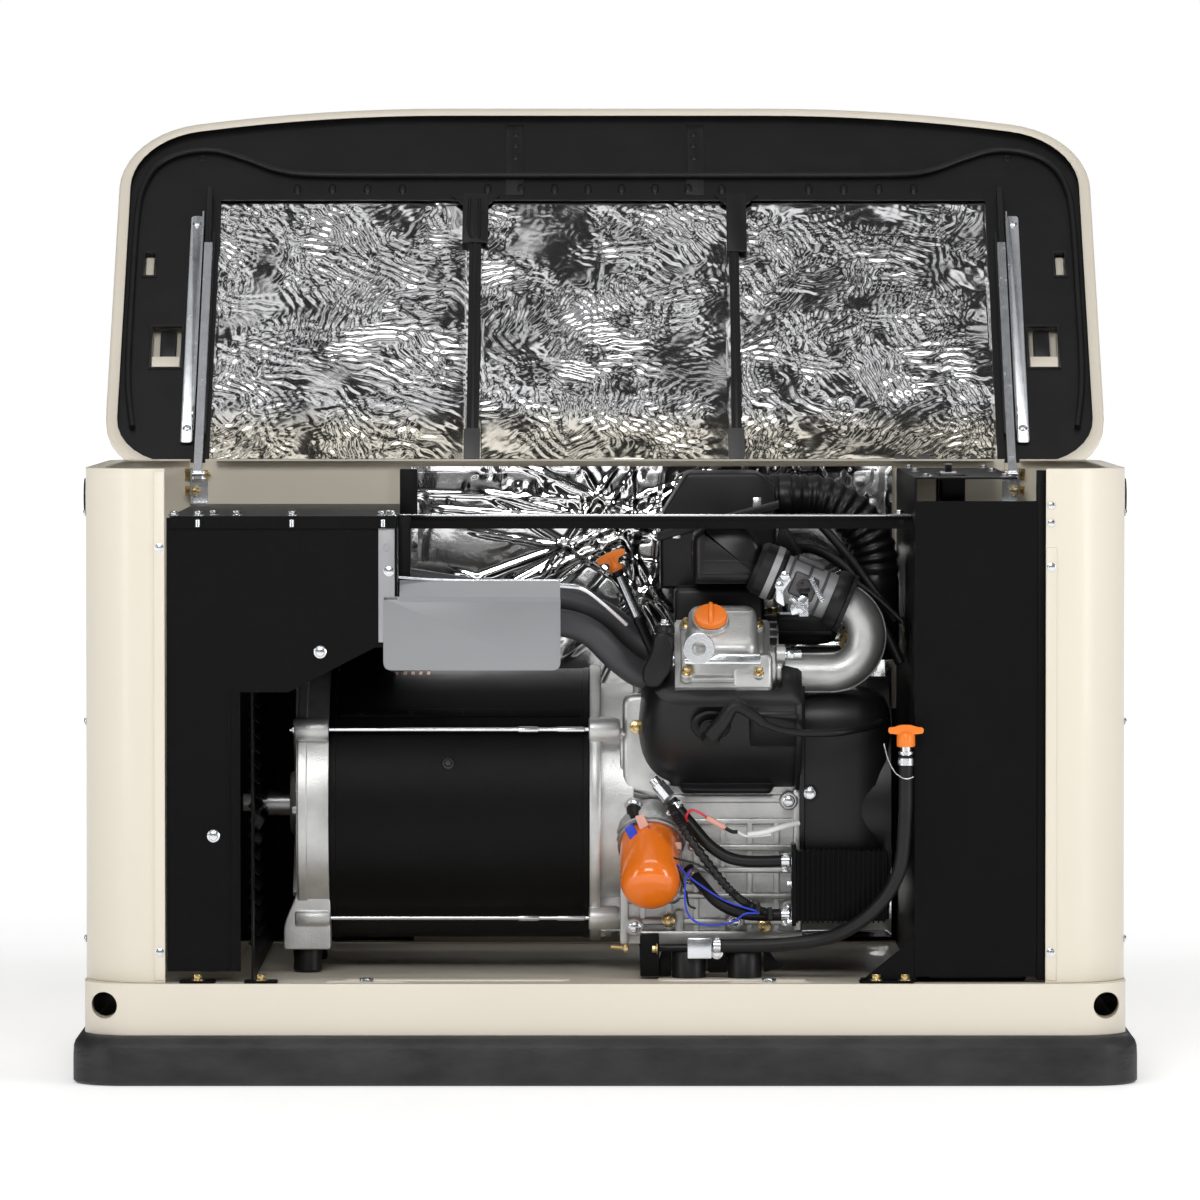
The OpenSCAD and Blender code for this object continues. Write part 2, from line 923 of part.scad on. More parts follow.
// A sheet shroud round the front cylinder that steers the cooling air.
module front_cylinder_wrap() {
    x0 = 40 - front_x;
    x1 = block_x1 - front_x;
    z0 = 105.5;
    color(black_plastic)
        on_cylinder(front_x, 1)
            difference() {
                union() {
                    box([x0, -90, z0], [x1, -60, 232]);
                    box([x0 + 10, -62, z0], [x0 + 40, 20, 181]);
                    box([x1 - 14, -62, z0], [x1, 20, 181]);
                }
                box([x0 + 13, -87, 80], [x1 - 3, 30, 186.5]);
                box([-57, -69, 186], [57, 30, 240]);
                bar_y([0, -100, 212], 14, 50);
                box([-63, -70, 180], [-50, 40, 240]);
            }
}

module rocker_covers() {
    color(cast_alloy) {
        for (c = [[front_x, 1], [rear_x, -1]])
            on_cylinder(c[0], c[1]) {
                difference() {
                    union() {
                        translate([0, 0, 235])
                            linear_extrude(6)
                                plan(48, -48, 48, 12, 12);
                        translate([0, 0, 241 - eps])
                            linear_extrude(40)
                                plan(41, -41, 41, 14, 14);
                    }
                    translate([0, 0, 234])
                        linear_extrude(43)
                            plan(37, -37, 37, 10, 10);
                    if (c[1] > 0)
                        translate([cap_at[0], cap_at[1], 270])
                            cylinder(r = 14.05, h = 20);
                }
            }
        on_cylinder(front_x, 1)
            translate([cap_at[0], cap_at[1], 281])
                difference() {
                    cylinder(r = 20, h = 6);
                    translate([0, 0, -1])
                        cylinder(r = 14.05, h = 9);
                }
    }
}

module lifting_eye() {
    color(zinc)
        difference() {
            union() {
                box([90, -262, 478], [178, -259, 500]);
                box([90, -262, 478], [122, -259, 514]);
                box([140, -259.5, 478], [178, -249, 481]);
            }
            bar_y([107, -270, 496], 8, 20);
        }
}

module oil_cap() {
    color(orange)
        on_cylinder(front_x, 1)
            translate([cap_at[0], cap_at[1], 0]) {
                translate([0, 0, 276])
                    cylinder(r = 14, h = 12);
                translate([0, 0, 287.3])
                    cylinder(r = 19, h = 7);
                box([-2.5, -16, 294], [2.5, 16, 305]);
            }
}

module dipstick() {
    color(orange)
        translate(dip_top)
            rotate([0, -dip_lean, 0]) {
                cylinder(r = 9, h = 16);
                box([-18, -5, 12], [18, 5, 24]);
                translate([0, 0, -150])
                    cylinder(r = 2, h = 151);
            }
}

module dipstick_tube() {
    color(black_plastic)
        translate(dip_top)
            rotate([0, 180 - dip_lean, 0])
                difference() {
                    translate([0, 0, 0.4])
                        cylinder(r = 7, h = 172);
                    translate([0, 0, -1])
                        cylinder(r = 4, h = 180);
                }
}

module oil_filter() {
    r = 35;
    color(orange)
        translate(filter_seat)
            rotate([90 + filter_dip, 0, 0]) {
                translate([0, 0, 0.2])
                    cylinder(r = r, h = 80);
                translate([0, 0, 80.2 - eps])
                    cylinder(r1 = r, r2 = r - 5, h = 5);
            }
}

module oil_cooler() {
    color(black_paint) {
        box([218, -236, 182], [322, -196, 262]);
        for (i = [0 : 17])
            box([220 + 5.8 * i, -242, 180], [221.6 + 5.8 * i, -190, 264]);
        for (z = [188, 250])
            bar_x([214, -216, z], 9, 6);
    }
}

module hoses_and_leads() {
    color(rubber) {
        tube(spline(drain_route, 2), 8, 10, [0.3, 1, 0]);
        tube(spline(upper_oil_route, 2), 7, 8, [0, 1, 0.3]);
        tube(spline(lower_oil_route, 2), 7, 8, [0, 1, 0.3]);
        tube(spline(lead_route, 2), 4.5, 8, [0, 1, 0.3]);
        translate([drain_at[0], drain_at[1], 376])
            cylinder(r = 6, h = 20);
    }
}

module drain_cap() {
    color(orange)
        translate(drain_at)
            difference() {
                union() {
                    translate([0, 0, -11])
                        cylinder(r = 10, h = 17);
                    translate([-20, -5, 4])
                        cube([40, 10, 10]);
                }
                translate([0, 0, -12])
                    cylinder(r = 6.05, h = 13);
            }
}

module intake_manifold() {
    r = 22;
    bend = 42;
    turn = 180 - throttle_dip;
    c = [259, throttle_at[1], 507];
    color(cast_alloy) {
        translate(c)
            rotate([90, 0, 0])
                rotate([0, 0, -90])
                    rotate_extrude(angle = turn)
                        translate([bend, 0])
                            circle(r = r);
        bar_x([196, c[1], c[2] - bend], r, 63);
        bar_x([190.2, c[1], c[2] - bend], 28, 6);
    }
}

module throttle_body() {
    r = 27;
    color(steel)
        translate(throttle_at)
            rotate([0, 90 + throttle_dip, 0])
                difference() {
                    union() {
                        translate([0, 0, -36])
                            cylinder(r = r, h = 72);
                        translate([0, 0, 36 - eps])
                            cylinder(r = 33, h = 14);
                        translate([0, 0, -42])
                            cylinder(r = 32, h = 8);
                        rotate([90, 0, 0])
                            cylinder(r = 9, h = r + 6);
                    }
                    translate([0, 0, -30])
                        cylinder(r = 20, h = 60);
                    rotate([90, 0, 0])
                        cylinder(r = 4.05, h = 60);
                }
}

module throttle_lever() {
    color(zinc)
        translate(throttle_at) {
            bar_y([0, -40, 0], 4, 30);
            difference() {
                union() {
                    bar_y([0, -40, 0], 9, 3);
                    box([-5, -40, -34], [5, -37, 0]);
                }
                bar_y([0, -45, -28], 2, 12);
            }
        }
}

module airbox() {
    color(black_plastic) {
        translate([0, 150, 0])
            rotate([90, 0, 0])
                linear_extrude(180)
                    polygon([
                        [65, 556], [196, 556], [200, 560], [200, 675], [180, 692], [96, 692],
                        [65, 640]
                    ]);
        box([80, -104, 500], [186, 26, 560]);
        box([100, -190, 566], [182, -30, 640]);
        bar_x([150, 40, 662], 28, 84);
        translate([234, 40, 662 - 86])
            rotate([90, 0, 0])
                rotate_extrude(angle = 90)
                    translate([86, 0])
                        circle(r = 28);
        translate([320, 40, 470])
            cylinder(r = 28, h = 106);
    }
}

module exhaust() {
    muffler_at = [-370, 572];
    color(steel) {
        bar_y([muffler_at[0], -200, muffler_at[1]], 58, 400);
        tube(spline(front_exhaust_route, 2), 16, 12, [0, 1, 0.35]);
        tube(spline(rear_exhaust_route, 2), 16, 12, [0, 1, 0.35]);
        difference() {
            bar_x([74, -175, 467], 24, 5.8);
            bar_x([70, -176, 466.3], 16.6, 12);
        }
        bar_x([-460, 60, muffler_at[1]], 18, 50);
        translate([-460, 60, 380])
            cylinder(r = 18, h = muffler_at[1] - 380);
    }
}

module heat_shield() {
    color(zinc) {
        box([-253, -287, 472], [-51, -285, 556]);
        translate([-235, 0, 0])
            rotate([90, 0, 90])
                linear_extrude(184)
                    polygon([
                        [-287, 550], [-285, 550], [-285, 555], [-270, 573], [-271.5, 574.5],
                        [-287, 556]
                    ]);
        box([-253, -285, 540], [-240, -283, 592]);
    }
}

module mounts_and_starter() {
    color(rubber)
        for (x = [98, 162], y = [-132, 52])
            translate([x, y, deck_z])
                cylinder(r = 19, h = 31);
    color(rubber)
        for (y = [-132, 52])
            translate([-345, y, deck_z])
                cylinder(r = 17, h = 28);
    color(black_paint)
        for (y = [-132, 52])
            box([40, y - 26, deck_z + 31], [220, y + 26, 150]);
    color(black_paint) {
        bar_x([110, 126, 320], 34, 114);
        bar_x([110, 116, 250], 18, 100);
    }
}

module battery_and_controls() {
    color(black_plastic) {
        box([368, -262, deck_z], [482, -92, deck_z + 195]);
        for (y = [-232, -122])
            translate([400, y, deck_z + 195 - eps])
                cylinder(r = 8, h = 14);
        box([366, -240, 430], [470, 40, 640]);
        box([386, -204, 640 - eps], [414, -116, 694]);
        difference() {
            box([386, -84, 640 - eps], [414, -56, 694]);
            bar_x([390, -70, 692], 3.25, 20);
            box([395.5, -78, 688], [404.5, -62, 695]);
        }
    }
    color(gold_zinc)
        difference() {
            bar_y([300, 240, 480], 14, 66);
            bar_y([300, 260, 480], 10.5, 50);
        }
}

module breaker_toggle() {
    color(steel)
        translate([400, -70, 692])
            rotate([20, 0, 0]) {
                bar_x([-9.6, 0, 0], 3.2, 19.2);
                box([-4, -2, 0], [4, 2, 12]);
            }
}

module fasteners() {
    color(gold_zinc) {
        for (x = recess_xs)
            hex_head([x, 28 - pan_hy, deck_z - 4], 15, 6);
        for (x = [-462, -390, 310, 340])
            hex_head([x, panel_y + 12, deck_z + 4.5], 11, 5);
    }
    color(zinc)
        for (x = [-480, -450, -410, -348, -262, -246])
            hex_head([x, panel_y + 10, duct_top_z + sheet], 9, 4);
}

base_pad();
base_pan();
left_side_panel();
right_side_panel();
rear_panel();
front_rail();
duct_front_panel();
duct_top_plate();
duct_divider();
right_front_panel();
right_partition();
right_top_plate();
rear_insulation();
stay_brackets();
body_hinge_leaves();
roof_shell();
roof_liner();
roof_seal();
roof_insulation();
stay_rails();
roof_hinge_leaves();
left_stay_arm();
right_stay_arm();
left_lock();
right_lock();
alternator_can();
end_bell();
stator();
tie_bolts();
rotor();
rotor_bearing();
crankcase();
crankshaft();
camshaft();
flywheel_fan();
blower_housing();
cylinders();
front_piston();
rear_piston();
cylinder_heads();
front_cylinder_wrap();
rocker_covers();
lifting_eye();
oil_cap();
dipstick();
dipstick_tube();
oil_filter();
oil_cooler();
hoses_and_leads();
drain_cap();
intake_manifold();
throttle_body();
throttle_lever();
airbox();
exhaust();
heat_shield();
mounts_and_starter();
battery_and_controls();
breaker_toggle();
fasteners();
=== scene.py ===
import bpy
import bmesh
import json
import math
import numpy as np
from mathutils import Matrix, Vector


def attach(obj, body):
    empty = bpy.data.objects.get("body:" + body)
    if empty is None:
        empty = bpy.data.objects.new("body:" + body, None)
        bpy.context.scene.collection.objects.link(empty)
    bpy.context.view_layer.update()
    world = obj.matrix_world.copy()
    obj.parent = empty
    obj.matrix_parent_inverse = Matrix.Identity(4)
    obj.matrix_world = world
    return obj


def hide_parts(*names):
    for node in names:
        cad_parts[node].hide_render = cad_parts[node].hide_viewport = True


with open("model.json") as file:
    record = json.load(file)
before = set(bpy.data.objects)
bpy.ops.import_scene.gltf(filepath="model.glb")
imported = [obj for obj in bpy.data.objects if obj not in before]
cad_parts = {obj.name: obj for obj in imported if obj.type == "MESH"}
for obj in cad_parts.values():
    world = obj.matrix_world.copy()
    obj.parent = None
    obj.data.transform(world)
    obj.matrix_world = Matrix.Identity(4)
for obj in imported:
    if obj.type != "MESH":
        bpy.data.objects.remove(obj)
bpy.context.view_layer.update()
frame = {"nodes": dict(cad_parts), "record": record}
scene = bpy.context.scene

# Places and sizes are in millimetres, as in the part's own source, until a piece is finished.
MM = 0.001
DECK_Z = 115
BODY_HX, BODY_FRONT = 597, -289
MOUTH_X = 502
SHAFT_Y, SHAFT_Z = -40, 306
CAN_X0, CAN_X1, CAN_R = -319, -17, 157
BLOCK_X1 = 226
LEAN = math.radians(40)
FRONT_X, REAR_X = 135, 150
HINGE = Vector((0, 302, 699))
OPEN_ANGLE = math.radians(-135)
LIP_Z, CROWN_Z, LINER_Z = 703, 740, 711
PAD_XS = ((-485, -165), (-158, 159), (163, 481))
PAD_Y0, PAD_Y1 = -169, 290
TOP_PLATE_Z = 648
X_AXIS, Y_AXIS, Z_AXIS = Vector((1, 0, 0)), Vector((0, 1, 0)), Vector((0, 0, 1))
TIE_ANGLES, TIE_R = (34, -50, 146, 230), 166
MOUNT_YS, MOUNT_XS, BELL_MOUNT_X = (-132, 52), (98, 162), -345
CAP_AT = (-14, 4, 0)
MUFFLER_X, MUFFLER_Z = -370, 572
INTAKE_Y = -178
STARTER_Y, STARTER_Z = 126, 320
COOLER_PORT_X, COOLER_PORT_Y, COOLER_PORT_ZS = 213.5, -216, (250, 188)
DRAIN_X, DRAIN_Y = 342, -306.5
GAS_X, GAS_Z = 300, 480
# Stands an outline drawn in XY upright in XZ, so that it faces the front.
UPRIGHT = Matrix.Rotation(math.pi / 2, 4, "X")


# ---------- camera, light and floor ----------

def make_camera():
    data = bpy.data.cameras.new("camera")
    data.lens = 238
    data.sensor_width = 36
    data.clip_end = 80
    camera = bpy.data.objects.new("camera", data)
    camera.location = (-0.006, -9.319, 0.882)
    camera.rotation_euler = (math.radians(90 - 2.09), 0, 0)
    scene.collection.objects.link(camera)
    scene.camera = camera


def remap(tree, value, low, high, out_low=0.0, out_high=1.0, smooth=False):
    """A node that carries value from low..high to out_low..out_high."""
    node = tree.nodes.new("ShaderNodeMapRange")
    if smooth:
        node.interpolation_type = "SMOOTHSTEP"
    for field, number in (("From Min", low), ("From Max", high), ("To Min", out_low),
                          ("To Max", out_high)):
        node.inputs[field].default_value = number
    tree.links.new(value, node.inputs["Value"])
    return node.outputs["Result"]


def area_light(name, place, target, size, watts, colour=(1, 1, 1)):
    data = bpy.data.lights.new(name, "AREA")
    data.shape = "RECTANGLE"
    data.size, data.size_y = size
    data.energy = watts
    data.color = colour
    lamp = bpy.data.objects.new(name, data)
    lamp.location = place
    lamp.rotation_euler = (Vector(target) - Vector(place)).to_track_quat("-Z", "Y").to_euler()
    lamp.visible_camera = False
    scene.collection.objects.link(lamp)


def make_world():
    """White to the camera; to everything else a dark room with a broken bright ceiling."""
    world = bpy.data.worlds.new("studio")
    scene.world = world
    world.use_nodes = True
    nodes, links = world.node_tree.nodes, world.node_tree.links
    nodes.clear()
    place = nodes.new("ShaderNodeTexCoord")
    split = nodes.new("ShaderNodeSeparateXYZ")
    links.new(place.outputs["Generated"], split.inputs[0])
    height = nodes.new("ShaderNodeValToRGB")
    marks = [(0.0, 0.30), (0.47, 0.26), (0.54, 0.03), (0.74, 0.10), (0.86, 0.62), (1.0, 0.72)]
    ramp = height.color_ramp
    while len(ramp.elements) < len(marks):
        ramp.elements.new(0.5)
    for stop, (at, value) in zip(ramp.elements, marks):
        stop.position = at
        stop.color = (value, value, value * 1.02, 1)
    links.new(remap(world.node_tree, split.outputs["Z"], -1, 1), height.inputs["Fac"])
    cloud = nodes.new("ShaderNodeTexNoise")
    cloud.inputs["Scale"].default_value = 6.5
    cloud.inputs["Detail"].default_value = 3
    links.new(place.outputs["Generated"], cloud.inputs["Vector"])
    broken = remap(world.node_tree, cloud.outputs["Fac"], 0.46, 0.57, 0.03, 1.15)
    room = nodes.new("ShaderNodeBackground")
    links.new(height.outputs["Color"], room.inputs["Color"])
    links.new(broken, room.inputs["Strength"])
    white = nodes.new("ShaderNodeBackground")
    path = nodes.new("ShaderNodeLightPath")
    mix = nodes.new("ShaderNodeMixShader")
    out = nodes.new("ShaderNodeOutputWorld")
    white.inputs["Color"].default_value = (1, 1, 1, 1)
    links.new(path.outputs["Is Camera Ray"], mix.inputs[0])
    links.new(room.outputs[0], mix.inputs[1])
    links.new(white.outputs[0], mix.inputs[2])
    links.new(mix.outputs[0], out.inputs["Surface"])


def make_light():
    make_world()
    area_light("top_soft", (0, -0.7, 3.3), (0, 0, 0.4), (2.8, 0.4), 15)
    area_light("front_soft", (-0.5, -4.4, 2.9), (0, 0, 0.4), (2.4, 1.3), 82)
    area_light("left_strip", (-3.3, -2.4, 1.2), (0, 0, 0.45), (0.7, 2.2), 25)
    area_light("right_strip", (3.3, -2.2, 1.3), (0, 0, 0.45), (0.7, 2.2), 38)
    area_light("back_soft", (0.6, 3.8, 2.2), (0, 0.3, 0.6), (2.6, 1.2), 22)
    scene.view_settings.view_transform = "Standard"


def make_floor():
    """A pale floor, level and wide, that brightens to white far from the object."""
    near, far, half = -14.0, 60.0, 60.0
    bm = bmesh.new()
    bm.faces.new([bm.verts.new((x, y, -0.0005)) for x, y in corners(-half, near, half, far)])
    mesh = bpy.data.meshes.new("floor")
    bm.to_mesh(mesh)
    white = surface("floor", (0.93, 0.93, 0.93), 0.6, mottle=(2, 0.004), grain=(50, 0.0))
    shader = white.node_tree.nodes["Principled BSDF"]
    shader.inputs["Emission Color"].default_value = (1, 1, 1, 1)
    nodes, links = white.node_tree.nodes, white.node_tree.links
    place, reach = nodes.new("ShaderNodeTexCoord"), nodes.new("ShaderNodeVectorMath")
    reach.operation = "LENGTH"
    links.new(place.outputs["Object"], reach.inputs[0])
    glow = remap(white.node_tree, reach.outputs["Value"], 1.2, 6.0, 0.42, 1.0)
    links.new(glow, shader.inputs["Emission Strength"])
    mesh.materials.append(white)
    floor = bpy.data.objects.new("floor", mesh)
    scene.collection.objects.link(floor)


# ---------- materials ----------

def surface(name, colour, rough, metal=0.0, mottle=(6, 0.06), grain=(900, 0.1), coat=0.0, edge=0.0,
            spread=0.06, stretch=(1, 1, 1), band=None, gloss=0.5):
    """A node material: mottled colour, uneven roughness and a fine grain. edge rounds the look of
    sharp corners, and band = (colour, z low, z high) fades to another colour going down, which paints a
    reflection into the colour."""
    mat = bpy.data.materials.new(name)
    mat.use_nodes = True
    nodes, links = mat.node_tree.nodes, mat.node_tree.links
    shader = nodes["Principled BSDF"]
    shader.inputs["Metallic"].default_value = metal
    shader.inputs["Coat Weight"].default_value = coat
    shader.inputs["Specular IOR Level"].default_value = gloss
    place = nodes.new("ShaderNodeTexCoord")
    scale = nodes.new("ShaderNodeMapping")
    scale.inputs["Scale"].default_value = stretch
    links.new(place.outputs["Object"], scale.inputs["Vector"])

    def noise(size, detail):
        n = nodes.new("ShaderNodeTexNoise")
        n.inputs["Scale"].default_value = size
        n.inputs["Detail"].default_value = detail
        links.new(scale.outputs["Vector"], n.inputs["Vector"])
        return n.outputs["Fac"]

    ramp = nodes.new("ShaderNodeValToRGB")
    ramp.color_ramp.elements[0].position = 0.3
    ramp.color_ramp.elements[1].position = 0.7
    ramp.color_ramp.elements[0].color = (*[c * (1 - mottle[1]) for c in colour], 1)
    ramp.color_ramp.elements[1].color = (*[min(1.0, c * (1 + mottle[1])) for c in colour], 1)
    links.new(noise(mottle[0], 6), ramp.inputs["Fac"])
    tone = ramp.outputs["Color"]
    # band paints a colour fade by height: a painted reflection, not a colour of the material.
    if band:
        split = nodes.new("ShaderNodeSeparateXYZ")
        links.new(place.outputs["Object"], split.inputs[0])
        fade = remap(mat.node_tree, split.outputs["Z"], band[2], band[1], smooth=True)
        mix = nodes.new("ShaderNodeMix")
        mix.data_type = "RGBA"
        links.new(fade, mix.inputs["Factor"])
        links.new(tone, mix.inputs["A"])
        mix.inputs["B"].default_value = (*band[0], 1)
        tone = mix.outputs["Result"]
    links.new(tone, shader.inputs["Base Color"])
    sheen = remap(mat.node_tree, noise(mottle[0] * 4, 4), 0, 1, max(0.02, rough - spread),
                  min(1.0, rough + spread))
    links.new(sheen, shader.inputs["Roughness"])
    bump = nodes.new("ShaderNodeBump")
    bump.inputs["Strength"].default_value = grain[1]
    bump.inputs["Distance"].default_value = 0.001
    links.new(noise(grain[0], 3), bump.inputs["Height"])
    if edge:
        bevel = nodes.new("ShaderNodeBevel")
        bevel.samples = 4
        bevel.inputs["Radius"].default_value = edge
        links.new(bevel.outputs["Normal"], bump.inputs["Normal"])
    links.new(bump.outputs["Normal"], shader.inputs["Normal"])
    return mat


TAN = (0.775, 0.715, 0.60)
MAT = {
    "composite_pad": surface("composite_pad", (0.024, 0.024, 0.025), 0.5, mottle=(14, 0.5),
                             grain=(90, 0.9), stretch=(1, 1, 2.2), gloss=0.35),
    "tan_paint": surface("tan_paint", TAN, 0.38, mottle=(3, 0.02), grain=(600, 0.04), coat=0.1,
                         edge=0.0015),
    "black_paint": surface("black_paint", (0.0026, 0.0026, 0.0028), 0.36, mottle=(12, 0.2),
                           grain=(820, 0.42), edge=0.0006, gloss=0.11),
    "black_plastic": surface("black_plastic", (0.0065, 0.0065, 0.0067), 0.34, mottle=(10, 0.2),
                             grain=(1500, 0.08), edge=0.001, gloss=0.36),
    "foil": surface("foil", (0.93, 0.93, 0.92), 0.07, metal=1.0, mottle=(14, 0.03),
                    grain=(240, 0.03), spread=0.02),
    "cast_alloy": surface("cast_alloy", (0.56, 0.56, 0.55), 0.40, metal=0.85, mottle=(22, 0.2),
                          grain=(480, 0.32), edge=0.0015),
    "zinc": surface("zinc", (0.74, 0.76, 0.78), 0.25, metal=1.0, mottle=(30, 0.08),
                    grain=(400, 0.05), edge=0.0005),
    "steel": surface("steel", (0.45, 0.45, 0.46), 0.32, metal=1.0, mottle=(20, 0.12),
                     grain=(600, 0.08), edge=0.0005),
    "grey_steel": surface("grey_steel", (0.38, 0.38, 0.39), 0.45, metal=0.6, mottle=(8, 0.12),
                          grain=(500, 0.06), edge=0.0006),
    "copper_winding": surface("copper_winding", (0.40, 0.15, 0.06), 0.35, metal=0.8,
                              mottle=(40, 0.25), grain=(300, 0.4), stretch=(0.2, 4, 4)),
    "orange_plastic": surface("orange_plastic", (0.90, 0.22, 0.015), 0.34, mottle=(14, 0.05),
                              grain=(900, 0.04)),
    "orange_paint": surface("orange_paint", (0.88, 0.19, 0.012), 0.22, mottle=(8, 0.04),
                            grain=(300, 0.015), coat=0.6),
    "rubber": surface("rubber", (0.008, 0.008, 0.008), 0.40, mottle=(30, 0.25),
                      grain=(1400, 0.14), gloss=0.3),
    "gold_zinc": surface("gold_zinc", (0.66, 0.50, 0.24), 0.28, metal=1.0, mottle=(60, 0.25),
                         grain=(500, 0.05), edge=0.0004),
}
EXTRA = {
    # The roof foil's band paints a cream reflection of the tan paint into its colour, growing towards
    # the open roof's lower edge.
    "roof_foil": surface("roof_foil", (0.95, 0.95, 0.945), 0.075, metal=1.0, mottle=(14, 0.02),
                         grain=(240, 0.03), spread=0.02, band=((1.0, 0.94, 0.80), 0.728, 0.770)),
    "pipe_grey": surface("pipe_grey", (0.06, 0.06, 0.065), 0.5, metal=0.35, mottle=(10, 0.15),
                         grain=(500, 0.1)),
    "shield_grey": surface("shield_grey", (0.30, 0.305, 0.315), 0.42, metal=0.45, mottle=(5, 0.1),
                           grain=(350, 0.05), stretch=(0.4, 1, 1)),
    "cover_grey": surface("cover_grey", (0.075, 0.072, 0.075), 0.45, metal=0.4, mottle=(12, 0.2),
                          grain=(600, 0.25)),
    "wire_blue": surface("wire_blue", (0.02, 0.05, 0.55), 0.35, mottle=(20, 0.1)),
    "wire_red": surface("wire_red", (0.65, 0.03, 0.05), 0.35, mottle=(20, 0.1)),
    "wire_pink": surface("wire_pink", (0.72, 0.38, 0.30), 0.35, mottle=(20, 0.1)),
    "wire_white": surface("wire_white", (0.75, 0.75, 0.73), 0.4, mottle=(20, 0.06)),
}


def dress_cad():
    """Gives every CAD node the material of its slot in the record."""
    for part in frame["record"]["subparts"]:
        mesh = frame["nodes"][part["node"]].data
        mesh.materials.clear()
        mesh.materials.append(MAT[part["material_slot"]])


# ---------- shapes ----------

def aim(p, axis, spin=0.0):
    """A matrix with its origin at p and its Z along axis."""
    turn = Vector(axis).to_track_quat("Z", "Y").to_matrix().to_4x4()
    return Matrix.Translation(Vector(p)) @ turn @ Matrix.Rotation(spin, 4, "Z")


def on_cylinder(x, side):
    """The frame of one leaning cylinder, with Z up its bore."""
    return Matrix.Translation((x, SHAFT_Y, SHAFT_Z)) @ Matrix.Rotation(side * LEAN, 4, "X")


def on_shaft(x, degrees):
    """A frame on the shaft's line, turned about it."""
    return Matrix.Translation((x, SHAFT_Y, SHAFT_Z)) @ Matrix.Rotation(math.radians(degrees), 4, "X")


def opened():
    """Carries the closed roof's places to the open roof's."""
    turn = Matrix.Rotation(OPEN_ANGLE, 4, "X")
    return Matrix.Translation(HINGE) @ turn @ Matrix.Translation(-HINGE)


def smooth_path(points, steps):
    """A Catmull-Rom curve through points."""
    p = [Vector(q) for q in points]
    out = []
    for i in range(len(p) - 1):
        a, b, c, d = p[max(i - 1, 0)], p[i], p[i + 1], p[min(i + 2, len(p) - 1)]
        for k in range(steps):
            t = k / steps
            out.append(0.5 * (2 * b + t * (c - a) + t * t * (2 * a - 5 * b + 4 * c - d)
                              + t * t * t * (3 * b - a - 3 * c + d)))
    return out + [p[-1]]


def rounded(points, radius, n=5):
    """An outline with each corner cut round; radius is one number or one for each corner."""
    radii = radius if hasattr(radius, "__len__") else [radius] * len(points)
    out = []
    for i, (x, y) in enumerate(points):
        p, a, b = Vector((x, y)), Vector(points[i - 1]), Vector(points[(i + 1) % len(points)])
        r = radii[i]
        if r <= 0:
            out.append((x, y))
            continue
        a, b = p + (a - p).normalized() * r, p + (b - p).normalized() * r
        for k in range(n + 1):
            t = k / n
            q = a * (1 - t) ** 2 + p * 2 * t * (1 - t) + b * t * t
            out.append((q.x, q.y))
    return out


def corners(x0, y0, x1, y1):
    return [(x0, y0), (x1, y0), (x1, y1), (x0, y1)]


